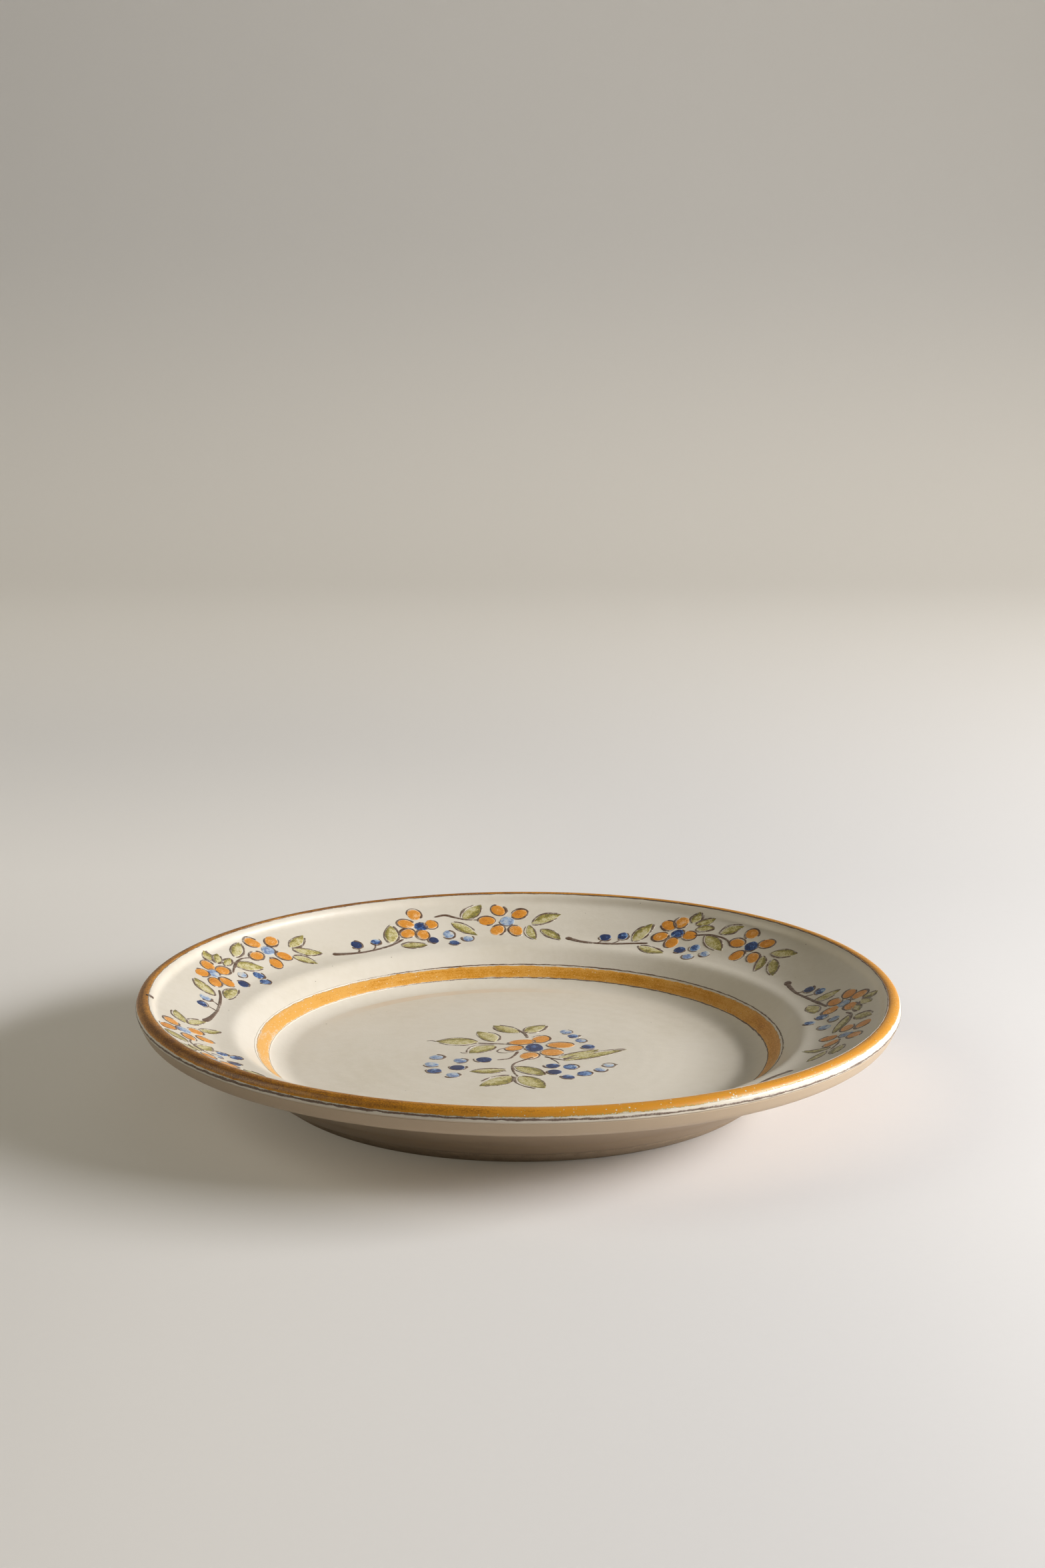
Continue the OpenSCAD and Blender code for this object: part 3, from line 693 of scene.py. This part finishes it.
SPRAY_A = {
    "stem": [(0, -3.9), (4.3, -5.4), (10, -6.4), (17.1, -6.9), (24.3, -6.1), (31.4, -4.3), (36.4, -1.9)],
    "foot": 1.3,
    "links": [[(54.6, 1.2), (58.5, 3.2), (65.7, 5.7), (71.4, 4.3)]],
    "twigs": [[(16, -6.6), (16.8, -5), (17.2, -3.4)], [(22.4, -6.2), (23.6, -4.6), (24, -3)]],
    "berries": [(17.3, -1, 2.5, 0.8), (24, -0.4, 2.6, 0.35), (51.1, -5.6, 2.7, 0.9),
                (57.1, -1.3, 2.3, 0.3), (63.6, -5.3, 2.6, 0.6), (60.9, -9.7, 2.7, 0.6)],
    "leaves": [(30, -2.6, 35.3, 9, 6), (31.5, -7.1, 45, -6.4, 5), (60, 5, 70.6, -3, 6),
               (64.9, 7.4, 74.4, 13.8, 5), (91.4, 3.2, 101.8, 7.8, 4.8), (91.6, 2.2, 102.4, -4.4, 4.4),
               (88.9, -1.6, 95, -10.2, 4.4), (54.2, 10.6, 54.6, 16.6, 4.2), (54.4, 8.2, 60.4, 12.6, 3.8),
               (56, 5.6, 62.6, 8, 3.4)],
    "flowers": [(46.4, 5.4, 2.6, 0.4, [(42.2, 8.3), (49.4, 9.9), (51.9, 4.4), (46, -1), (40.6, 1.9)]),
                (81.4, 5, 2.8, 0.45, [(79, 11.6), (87, 9.1), (85.3, -0.2), (78.1, -2.5), (74.2, 4.4)])],
}
SPRAY_C = {
    "stem": [(0, -7.4), (6, -9.3), (12.4, -9.7), (20.3, -9), (27.4, -7.4), (34.6, -5.7)],
    "foot": 1.7,
    "links": [[(51, 2.9), (57.4, 5), (64.6, 4.6), (68.9, 2.1)]],
    "twigs": [[(13, -9.7), (14, -8.6), (14.8, -7.2)], [(19.4, -9), (21, -7.4), (22, -5.8)]],
    "berries": [(15.4, -5.1, 2.7, 0.9), (22.6, -3.3, 2.5, 0.75), (49.9, -6.9, 2.7, 0.85),
                (55.6, -3.9, 2.5, 0.55), (62.1, -6.1, 2.4, 0.35), (56.3, -10.2, 2.7, 0.45)],
    "leaves": [(27.8, -6, 32.2, 5.9, 5.8), (31.4, -8.4, 45, -10.8, 5), (55.6, 4, 67.8, -2.6, 6),
               (60.6, 6.6, 67.2, 14, 5.4), (88.6, 3.6, 100, 8, 5.4), (86.9, 1.4, 92, -8, 4.4),
               (92.4, 1.2, 102, -6.6, 5), (47.2, 9.6, 47.6, 16.4, 4.2), (48.8, 8.8, 54.8, 14.4, 4),
               (50, 6.2, 57.2, 9.2, 3.6)],
    "flowers": [(44.1, 2.3, 2.6, 0.7, [(42.7, 9.1), (38.4, 6.3), (38.1, -0.9), (44.1, -3.3),
                (49.3, 2.4)]), (78, 4.1, 2.9, 0.8, [(73.4, 10.6), (71.2, 4), (76.3, -2.6), (83.8, -1.2),
                (82.9, 7.8)])],
}
SPRAY_D = {
    "stem": [(2, -6.4), (6.4, -7.6), (13.6, -8.3), (22.1, -7.1), (30.7, -5.4), (37.9, -3.6)],
    "foot": 2.1,
    "links": [[(52, 1.6), (56.4, 3.4), (62, 2.4)], [(85, 1), (89, 0.6), (93, -0.6)]],
    "twigs": [[(13.6, -8.3), (14.4, -7.2), (15, -6)], [(19.6, -7.6), (20.8, -5.6), (21.4, -4)]],
    "berries": [(15.7, -3.6, 2.5, 0.8), (21.7, -1.4, 2.5, 0.6), (47.1, -7.1, 2.8, 0.55),
                (53.6, -3.3, 2.4, 0.5), (60, -7.1, 2.8, 0.45), (51.4, -12, 2.4, 0.6)],
    "leaves": [(27.6, -6.2, 29.4, 4.6, 4.6), (30.7, -9.2, 41.2, -8.4, 5.6), (56, 2.6, 70.6, -4.2, 4.6),
               (59.6, 4.4, 65.6, 11.4, 6), (91, 3.6, 102, 3.8, 5.4), (93.4, -1.8, 104, -5.8, 4.6),
               (89.4, -1.2, 88.4, -12.4, 3.8), (44.6, 9.2, 45.8, 15.6, 4), (46.4, 8, 52, 11.6, 3.8),
               (47.8, 5, 56, 6.2, 3.4)],
    "flowers": [(42.4, 2.1, 2.6, 0.45, [(35.9, 5.9), (41, 9), (37.3, -0.4), (43.6, -3.3), (47.9, 3.8)]),
                (77.9, 2.1, 2.7, 0.5, [(72.4, 8), (82.5, 6.1), (83.8, -2.3), (75.5, -4.6), (70.2, 1.9)])],
}
# Where each spray's stem starts, in degrees, its size and its drawing
SPRAYS = ((184.3, 1.0, SPRAY_A), (131, 1.0, SPRAY_B), (79.5, 1.0, SPRAY_C), (24, 1.0, SPRAY_D),
          (327, 1.0, SPRAY_C), (275, 0.76, SPRAY_B), (235.5, 1.0, SPRAY_A))

# The bouquet in the well, in millimetres from the plate's middle
BOUQUET = {
    "heart": (5.7, 6.7, 3.4, 4.6, 0.8),
    "petals": [(1.2, 13.4, 5.0, 3.0, 15), (8.1, 16.9, 3.4, 4.4, -20), (15.2, 9.9, 4.9, 3.3, 8),
               (12.1, 1.4, 3.9, 4.3, -60), (3.9, -2.7, 3.3, 4.1, -30), (-1.6, 6.1, 3.6, 2.8, 40)],
    "leaves": [(0.3, 24.4, -9.4, 34, 7), (2.6, 23.9, 10.5, 33.8, 6.4), (-8.4, 13.6, -14.9, 26.6, 7.2),
               (-14.7, 13.3, -30.2, 13.6, 8.6), (-8.6, 9.4, -18.2, 0.4, 7.4),
               (14.4, -5.2, 29.4, 4.8, 5.4), (15.9, -8, 38.9, 5.4, 5.6), (-4.1, -18.3, -17.6, -20.2, 5.4),
               (-1.7, -15.2, 9.4, -24.8, 7), (-2.2, -24.9, -13.8, -36, 8.4),
               (-0.2, -25.6, 8.9, -39.2, 8.8)],
    "berries": [(-29.1, -4.4, 2.9, 0.4), (-20.8, -8.3, 2.9, 0.5), (-12.7, -7.2, 3.3, 0.85),
                (-30.8, -12.8, 2.9, 0.45), (-21.3, -16.1, 3.2, 0.95), (-29.7, -19.8, 2.9, 0.7),
                (-23, -24.4, 2.9, 0.5), (17.3, 25.8, 2.7, 0.35), (20.1, 20.6, 2.3, 0.55),
                (22.6, 15.2, 2.4, 0.5), (25, 8.1, 2.8, 0.8), (12, -13.9, 2.9, 0.75), (18.4, -15, 3, 0.55),
                (12.9, -20.9, 3, 0.95), (17.3, -26.1, 2.8, 0.7), (23.1, -22.4, 3, 0.55),
                (28.9, -18.3, 2.4, 0.45), (32, -13.3, 2.3, 0.3)],
    "stems": [([(5.3, -4.4), (1.6, -8), (-1.6, -12), (-2.1, -17), (-1.4, -22), (-0.2, -25.6)], 1.2),
              ([(-0.2, 2.2), (-1.4, -2), (-3.4, -6), (-7.6, -7.6)], 1.2), ([(3.4, 18.4), (2.6, 22.2),
              (1.6, 25), (-0.4, 28)], 1.6), ([(2, 23.6), (3.6, 25.8)], 1.2), ([(-1.6, 10.4), (-6.9, 11.1),
              (-14.7, 11.9)], 1.3), ([(9.4, -3.4), (11.6, -5.2), (16, -7.6)], 1.2), ([(11.4, -5.8),
              (13.4, -9), (14.4, -11.6)], 0.7)],
    "flicks": [([(-30, 13.6), (-31.6, 15), (-33.4, 14.4)], 0.6), ([(-18.2, 0.6), (-20, 0.4),
               (-20.8, 1.4)], 0.6), ([(-4.2, -20.2), (-6.4, -19.4), (-9, -20)], 0.7), ([(38.6, 5.2),
               (36.4, 3.6), (34, 3.8)], 0.5), ([(-2.4, -25), (-1.4, -31), (1.6, -36.2),
               (5.6, -39.2)], 0.6), ([(29.6, -12.2), (32.4, -10.8), (35.2, -12.6)], 0.7), ([(-3.2, 7.6),
               (-7, 4.4), (-7.4, 1.6), (-4.6, 0.6), (-1.6, 2)], 0.8)],
}


class Painter:
    """Paints leaves, petals and berries with one brush for each colour."""

    def __init__(self, group, seed):
        kinds = ("stems", "outlines", "leaves", "petals", "pale", "dark")
        self.brushes = {kind: Brush(f"{group}_{kind}", seed + k) for k, kind in enumerate(kinds)}
        self.rng = np.random.default_rng(seed)

    def blue(self, tone):
        """The brush of full cobalt or the one of thin cobalt."""
        return self.brushes["dark" if tone > 0.5 else "pale"]

    def outline(self, place, line, width, ink=0.58):
        """Draws an outline with an uneven hand."""
        line = np.asarray(line) + self.rng.normal(0, 0.12, 2)
        self.brushes["outlines"].stroke(place, smooth_line(line, 0.45), width, ink,
                                        press=self.rng.uniform(0.4, 1.3, 6))

    def ring(self, place, c, rx, ry, tilt, share, width, start=None):
        """A loose outline that goes only part of the way round a dab."""
        start = self.rng.uniform(0, 2 * pi) if start is None else start
        self.outline(place, on_oval(start + np.linspace(0, 2 * pi * share, 14), c, rx, ry, tilt), width)

    def leaf(self, place, x0, y0, x1, y1, w):
        base, tip = np.array((x0, y0)), np.array((x1, y1))
        length = np.hypot(*(tip - base))
        along = (tip - base) / length
        side = np.array([-along[1], along[0]])
        bow, tone = self.rng.uniform(-0.07, 0.07), self.rng.uniform(0.24, 0.36)
        wet = self.rng.choice((-1, 1))

        def ink(p):
            t, v = (p - base) @ along / length, (p - base) @ side * wet * 2 / w
            return tone + 0.4 * ease((t - 0.68) / 0.24) + 0.36 * ease((v - 0.15) / 0.6)

        slip = side * wet * 0.07 * w
        short = along * 0.02 * length
        fill = leaf_shape(base + slip + short, tip + slip - short, w * 0.92, bow)
        self.brushes["leaves"].dab(place, fill, ink, fade=0.05, rough=0.05)
        edge = leaf_shape(base, tip, w * 1.04, bow)
        half = len(edge) // 2
        for line in (edge[:half], np.vstack([edge[half:], edge[:1]])[::-1]):
            a, b = self.rng.integers(0, 4), half - self.rng.integers(0, 5)
            self.outline(place, line[a:b:3], 0.95, 0.48)

    def petal(self, place, c, rx, ry, tilt):
        spot = (c + self.rng.normal(0, 1.0, 2), 1.3, self.rng.uniform(0.1, 0.35))
        slip = self.rng.normal(0, 0.22, 2)
        self.brushes["petals"].dab(place, round_shape(c + slip, rx * 0.97, ry * 0.97, tilt),
                                   self.rng.uniform(0.5, 0.74), fade=0.34, rough=0.06, spot=spot)
        self.ring(place, c, rx + 0.1, ry + 0.1, tilt, self.rng.uniform(0.6, 0.98), 0.95)

    def berry(self, place, x, y, r, tone):
        c = np.array((x, y))
        light = c + r * np.array((0.3, 0.35)) + self.rng.normal(0, 0.3, 2)
        slip = self.rng.normal(0, 0.2, 2)
        self.blue(tone).dab(
            place, round_shape(c + slip, r * 0.88, r * 0.82, self.rng.uniform(0, 3)), tone,
            fade=0.2, rough=0.07, spot=(light, 1.1, 0.65 - 0.5 * tone))
        self.ring(place, c, r, r * 0.95, 0, self.rng.uniform(0.35, 0.7), 1.0,
                  start=self.rng.uniform(2.6, 4.6))

    def heart(self, place, x, y, rx, ry, tone):
        c = np.array((x, y))
        self.blue(tone).dab(
            place, round_shape(c, rx, ry), tone, rough=0.07,
            spot=(c + self.rng.normal(0, 0.7, 2), 1.2, 0.35))
        self.ring(place, c, rx + 0.1, ry + 0.1, 0, 0.4, 0.8)

    def flower(self, place, x, y, r, tone, petals):
        for px, py in petals:
            out = np.array((px - x, py - y))
            reach = np.hypot(*out)
            self.petal(place, np.array((px, py)), min(3.4, 0.6 * reach), 2.7,
                       np.arctan2(out[1], out[0]))
        self.heart(place, x, y, r, r, tone)

    def spray(self, place, drawing):
        stems = self.brushes["stems"]
        stem = drawing["stem"]
        stems.stroke(place, smooth_line(stem), 1.4, 0.7, press=(1.5, 1.15, 0.9, 1.0, 0.95, 0.75))
        foot = np.array(stem[0]) + (0.4, -0.1)
        stems.dab(place, round_shape(foot, drawing["foot"], drawing["foot"] * 0.72, -0.3), 0.8)
        for line in drawing["links"]:
            stems.stroke(place, smooth_line(line), 1.1, 0.62, press=(0.8, 1.1, 0.9, 0.6))
        for line in drawing["twigs"]:
            stems.stroke(place, smooth_line(line, 0.4), 0.8, 0.6)
        for leaf in drawing["leaves"]:
            self.leaf(place, *leaf)
        for flower in drawing["flowers"]:
            self.flower(place, *flower)
        for berry in drawing["berries"]:
            self.berry(place, *berry)


# ---- Operators ----

def settings():
    scene = bpy.context.scene
    return scene.plate_sizes, scene.plate_colours


class PLATE_OT_throw(bpy.types.Operator):
    """Turns the clay body on its smooth profile, with throwing rings and a slight fired warp"""

    bl_idname = "plate.throw"
    bl_label = "Clay body"

    def execute(self, context):
        sizes, colours = settings()
        s = np.linspace(CAP_R, SKIN.end - CAP_R, 420)
        wiped = ease((s - SKIN.foot_out) / BARE) * ease((SKIN.foot_in - s) / BARE)
        lift = -(sizes.glaze_t + 0.02 * MM) * (1 - wiped)
        co, faces = turned(SKIN, s, 360, lift[:, None], True, True)
        new_piece("clay_body_turned", co, faces, biscuit(colours), "biscuit", ("clay_body",))
        return {"FINISHED"}


class PLATE_OT_glaze(bpy.types.Operator):
    """Dips the plate: a glaze coat on the face, on the back and in the recess of the foot"""

    bl_idname = "plate.glaze"
    bl_label = "Glaze coats"

    def execute(self, context):
        sizes, colours = settings()
        dipped_twice, dipped_once = tin_glaze(colours), back_glaze(colours)
        line_end = SKIN.span("rim_line")[1]
        for name, coat, s0, s1, count, caps in (
            ("face_glaze", dipped_twice, CAP_R, SKIN.rim_end, 640, (True, False)),
            ("back_glaze", dipped_once, SKIN.rim_end, SKIN.foot_out - BARE, 640, (False, False)),
            ("base_glaze", dipped_once, SKIN.foot_in + BARE, SKIN.end - CAP_R, 360, (False, True)),
        ):
            s = np.linspace(s0, s1, int((s1 - s0) / (0.8 * MM)))
            co, faces = turned(SKIN, s, count, 0.0, *caps)
            # Past the rim line the face coat takes the back glaze's colour, which is partly painted shade
            thin = np.zeros(len(co))
            thin[:len(s) * count] = np.repeat(ease((s - line_end) / (1.2 * MM)), count)
            new_piece(f"{name}_coat", co, faces, coat, "cream_glaze", (name,), {"thin": thin},
                      shell=sizes.glaze_t)
        return {"FINISHED"}


def round_plate(az, base, *swells):
    """A base value that swells smoothly near some azimuths. Each swell gives how much, at how many
    degrees, and within how many degrees on both sides."""
    for much, centre, wide in swells:
        off = np.abs((np.degrees(az) - centre + 180) % 360 - 180)
        base = base + much * ease(1 - off / wide)
    return base


def paint_band(node, paint, slot, seed, ink, drift=(0,), spread=(0,), rows=5, count=1500, wave=0.07,
               edges=(0.3, 0.3), soft=6):
    """Paints a band round the plate between its CAD edges, which waver as the hand does. The ink,
    the drift and the outer edge's spread, in mm, are values round the plate. Edges are how much it
    thins at the inner and the outer edge, the more softly the lower soft is."""
    sizes, _ = settings()
    rng = np.random.default_rng(seed)
    az = np.arange(count) * 2 * pi / count
    s0, s1 = SKIN.span(node)

    def hand():
        slow = sum(rng.normal(0, wave / k ** 0.5) * np.sin(k * az + rng.uniform(0, 6.3))
                   for k in (1, 2, 3, 5, 9, 14))
        shakes = np.tile(rng.normal(0, wave * 2, count), 3)
        quick = np.convolve(shakes, np.ones(5) / 5, "same")[count:2 * count]
        return (slow * 0.5 + quick) * MM

    shift = round_plate(az, *drift) * MM
    inner = s0 + shift + hand()
    outer = s1 + shift + hand() + round_plate(az, *spread) * MM
    v = np.linspace(0, 1, rows)[:, None]
    s = inner[None] + (outer - inner)[None] * v
    lift = sizes.paint_t * (0.15 + 0.75 * (1 - np.abs(2 * v - 1) ** 4)) + 0 * s
    co = SKIN.at(s, az[None, :], lift).reshape(-1, 3)
    loads = 0.06 * sin_sum(az, ((1, 0.6, 0.4), (3, 0.5, 2), (7, 0.4, 1), (17, 0.4, 3)))
    tone = round_plate(az, *ink)[None] + loads[None] - edges[0] * (1 - v) ** soft - edges[1] * v ** soft
    return new_piece(f"{node}_painted", co, grid_faces(rows, count, True), oxide(paint), slot, (node,),
                     {"ink": tone, "across": (s - s0) / MM}, shell=PAINT_ROOT)


class PLATE_OT_rim(bpy.types.Operator):
    """Paints the ochre band over the lip and the two brown lines beside it"""

    bl_idname = "plate.rim"
    bl_label = "Rim bands"

    def execute(self, context):
        # The lip's ochre is fuller and browner on the left and at the back, the side away from the lamp:
        # painted shade
        paint_band("rim_band", "rim_ochre", "ochre", 11, (0.44, (0.36, 220, 80), (0.34, 130, 80)),
                   spread=(0, (0.35, 250, 55), (-0.8, 340, 60)), rows=24, count=1800, wave=0.06,
                   edges=(0.0, 0.5), soft=12)
        paint_band("rim_line", "line", "brown", 12, (0.5, (-0.12, 320, 60)),
                   drift=(0, (0.3, 330, 70), (-0.35, 250, 60)), count=1800, wave=0.1)
        paint_band("rim_fine_line", "line", "brown", 13, (0.1, (0.6, 40, 90), (0.35, 150, 70)))
        # The place where the brush came round to its start
        nick = Brush("rim_brush_mark", 14)
        inner = SKIN.span("rim_fine_line")[0]
        start = radians(186)
        nick.stroke(lambda x, y, lift: SKIN.at(inner + y * MM, start + x * MM / SKIN.plate_r, lift),
                    smooth_line([(-0.4, -1.6), (0.2, -0.2), (0.3, 1.2)], 0.3), 1.6)
        nick.piece(oxide("line"), "brown")
        return {"FINISHED"}


class PLATE_OT_well_band(bpy.types.Operator):
    """Paints the ochre band round the well and its two thin brown lines"""

    bl_idname = "plate.well_band"
    bl_label = "Well band"

    def execute(self, context):
        paint_band("well_band", "ochre", "ochre", 21, (0.52, (-0.22, 180, 110)), rows=20, wave=0.12,
                   edges=(0.2, 0.2))
        paint_band("well_line", "line", "brown", 22, (0.45, (-0.75, 190, 110)),
                   drift=(0, (-0.6, 150, 110)))
        paint_band("well_fine_line", "line", "brown", 23, (0.42, (-0.75, 190, 125)))
        return {"FINISHED"}


class PLATE_OT_sprays(bpy.types.Operator):
    """Brushes the flower sprays round the flange"""

    bl_idname = "plate.sprays"
    bl_label = "Flower sprays"

    def execute(self, context):
        painter = Painter("spray", 100)
        middle = context.scene.plate_sizes.spray_r
        along = SKIN.at_radius(middle)
        for foot, size, drawing in SPRAYS:
            def place(x, y, lift, foot=foot, size=size):
                return SKIN.at(along + y * size * MM, radians(foot) - x * size * MM / middle, lift)
            painter.spray(place, drawing)
        finish_brushes(painter, {
            "stems": ("brown", "spray_stems"), "outlines": ("brown",), "leaves": ("olive", "spray_leaves"),
            "petals": ("orange", "spray_petals"), "pale": ("pale_blue", "spray_pale_berries", "spray_hearts"),
            "dark": ("dark_blue", "spray_dark_berries")})
        return {"FINISHED"}


def finish_brushes(painter, jobs):
    """Makes each brush's strokes one piece, with its oxide and the CAD nodes that it stands for."""
    for kind, (paint, *nodes) in jobs.items():
        painter.brushes[kind].piece(oxide(paint), paint, nodes)


class PLATE_OT_bouquet(bpy.types.Operator):
    """Brushes the bouquet on the floor of the well"""

    bl_idname = "plate.bouquet"
    bl_label = "Bouquet"

    def execute(self, context):
        painter = Painter("bouquet", 300)

        def place(x, y, lift):
            r = np.hypot(x, y) * MM
            return SKIN.at(SKIN.at_radius(r), np.arctan2(y, x), lift)

        for line, width in BOUQUET["stems"]:
            painter.brushes["stems"].stroke(place, smooth_line(line), width, 0.62, (1.1, 0.8, 0.9, 0.7))
        for line, width in BOUQUET["flicks"]:
            painter.brushes["outlines"].stroke(place, smooth_line(line, 0.5), width, 0.55, (0.9, 0.8, 0.4))
        for leaf in BOUQUET["leaves"]:
            painter.leaf(place, *leaf)
        for x, y, rx, ry, tilt in BOUQUET["petals"]:
            painter.petal(place, np.array((x, y)), rx, ry, radians(tilt))
        painter.heart(place, *BOUQUET["heart"])
        for berry in BOUQUET["berries"]:
            painter.berry(place, *berry)
        finish_brushes(painter, {
            "stems": ("brown", "bouquet_stems"), "outlines": ("brown",),
            "leaves": ("olive", "bouquet_leaves"), "petals": ("orange", "bouquet_petals"),
            "pale": ("pale_blue",), "dark": ("dark_blue", "bouquet_berries", "bouquet_heart")})
        return {"FINISHED"}


def lay_sweep(scene, stage):
    """Lays a flat floor that turns up into a far wall."""
    bend, near, far, top, wide = 1.2, -4.0, 2.6, 4.5, 5.0
    turn = np.linspace(0, pi / 2, 24)
    y = np.r_[near, far - bend, far - bend + bend * np.sin(turn[1:]), far]
    z = np.r_[0, 0, bend * (1 - np.cos(turn[1:])), top]
    co = [(x, a, b) for a, b in zip(y, z) for x in (-wide, wide)]
    mesh = bpy.data.meshes.new("sweep")
    mesh.from_pydata(co, [], [[2 * i, 2 * i + 1, 2 * i + 3, 2 * i + 2] for i in range(len(y) - 1)])
    mesh.shade_smooth()
    mesh.materials.append(pale_paper(stage))
    sweep = bpy.data.objects.new("sweep", mesh)
    scene.collection.objects.link(sweep)


def hang_lamps(scene, stage):
    """Sets a wide lamp low at the side, soft panels for the room, and a faint sky."""
    side = Vector((cos(stage.key_az) * cos(stage.key_el), sin(stage.key_az) * cos(stage.key_el),
                   sin(stage.key_el)))
    day, warm = (0.99, 0.99, 1.0), (1.0, 0.96, 0.8)
    # Each lamp: where it stands and where it points, its width and height, power and colour
    for name, place, aim, wide, tall, power, colour in (
        ("side_window", side * 1.6, (0, 0, 0), 1.2, 0.3, stage.key_power, day),
        ("rear_panel", (0.5, 1.4, 1.8), (0.3, 1.4, 0), 1.6, 1.6, 2.2 * stage.fill, warm),
        ("front_panel", (0.3, -1.8, 0.8), (0, 0, 0), 1.2, 1.2, 2.5 * stage.fill, warm),
        ("left_panel", (-1.8, 0, 1.2), (0, 0, 0), 1.2, 1.2, 10 * stage.fill, warm),
    ):
        light = bpy.data.lights.new(name, "AREA")
        light.shape, light.size, light.size_y = "RECTANGLE", wide, tall
        light.energy, light.color = power, colour
        lamp = bpy.data.objects.new(name, light)
        lamp.location = place
        lamp.rotation_euler = (Vector(place) - Vector(aim)).to_track_quat("Z", "Y").to_euler()
        scene.collection.objects.link(lamp)
    world = bpy.data.worlds.new("faint_sky")
    world.use_nodes = True
    sky = world.node_tree.nodes["Background"]
    sky.inputs["Color"].default_value = (1.0, 0.97, 0.88, 1.0)
    sky.inputs["Strength"].default_value = stage.sky
    scene.world = world


def set_camera(scene, stage):
    """Looks down on the plate at the angle of someone seated at the table."""
    away, down, aim = 0.9, radians(17.26), 0.02
    turn, tilt, lean = radians(-0.08), radians(5.47), radians(-0.13)
    camera = bpy.data.cameras.new("camera")
    camera.lens, camera.sensor_width, camera.sensor_fit = stage.lens, 36, "AUTO"
    camera.clip_end = 50
    eye = bpy.data.objects.new("camera", camera)
    place = Vector((0, -away * cos(down), aim + away * sin(down)))
    look = Matrix.Rotation(turn, 3, "Z") @ (Vector((0, 0, aim)) - place).normalized()
    right = look.cross(Vector((0, 0, 1))).normalized()
    look = Matrix.Rotation(tilt, 3, right) @ look
    up = right.cross(look)
    roll = Matrix.Rotation(lean, 3, look)
    right, up = roll @ right, roll @ up
    eye.matrix_world = Matrix((
        (right.x, up.x, -look.x, place.x), (right.y, up.y, -look.y, place.y),
        (right.z, up.z, -look.z, place.z), (0, 0, 0, 1)))
    scene.collection.objects.link(eye)
    scene.camera = eye


class PLATE_OT_stage(bpy.types.Operator):
    """Sets the pale sweep, the soft lamp, the fill and the camera"""

    bl_idname = "plate.stage"
    bl_label = "Stage"

    def execute(self, context):
        scene = context.scene
        for part in (lay_sweep, hang_lamps, set_camera):
            part(scene, scene.plate_stage)
        scene.view_settings.view_transform = "Standard"
        return {"FINISHED"}


class PLATE_PT_panel(bpy.types.Panel):
    """Lists the steps of making the plate"""

    bl_label = "Hand painted plate"
    bl_idname = "PLATE_PT_panel"
    bl_space_type = "VIEW_3D"
    bl_region_type = "UI"
    bl_category = "Plate"

    def draw(self, context):
        for group in (context.scene.plate_sizes, context.scene.plate_colours, context.scene.plate_stage):
            box = self.layout.box()
            for key in group.bl_rna.properties.keys():
                if key not in ("name", "rna_type"):
                    box.prop(group, key)
        for step in STEPS:
            self.layout.operator(step.bl_idname)


GROUPS = {"plate_sizes": PlateSizes, "plate_colours": PlateColours, "plate_stage": StageSettings}
STEPS = (PLATE_OT_throw, PLATE_OT_glaze, PLATE_OT_rim, PLATE_OT_well_band, PLATE_OT_sprays, PLATE_OT_bouquet,
         PLATE_OT_stage)


def register():
    for cls in (*GROUPS.values(), *STEPS, PLATE_PT_panel):
        bpy.utils.register_class(cls)
    for name, group in GROUPS.items():
        setattr(bpy.types.Scene, name, PointerProperty(type=group))


def unregister():
    for name in GROUPS:
        delattr(bpy.types.Scene, name)
    for cls in (PLATE_PT_panel, *reversed(STEPS), *reversed(list(GROUPS.values()))):
        bpy.utils.unregister_class(cls)


SKIN = Skin()


def main():
    register()
    for step in STEPS:
        family, name = step.bl_idname.split(".")
        getattr(getattr(bpy.ops, family), name)()


if __name__ == "__main__":
    main()
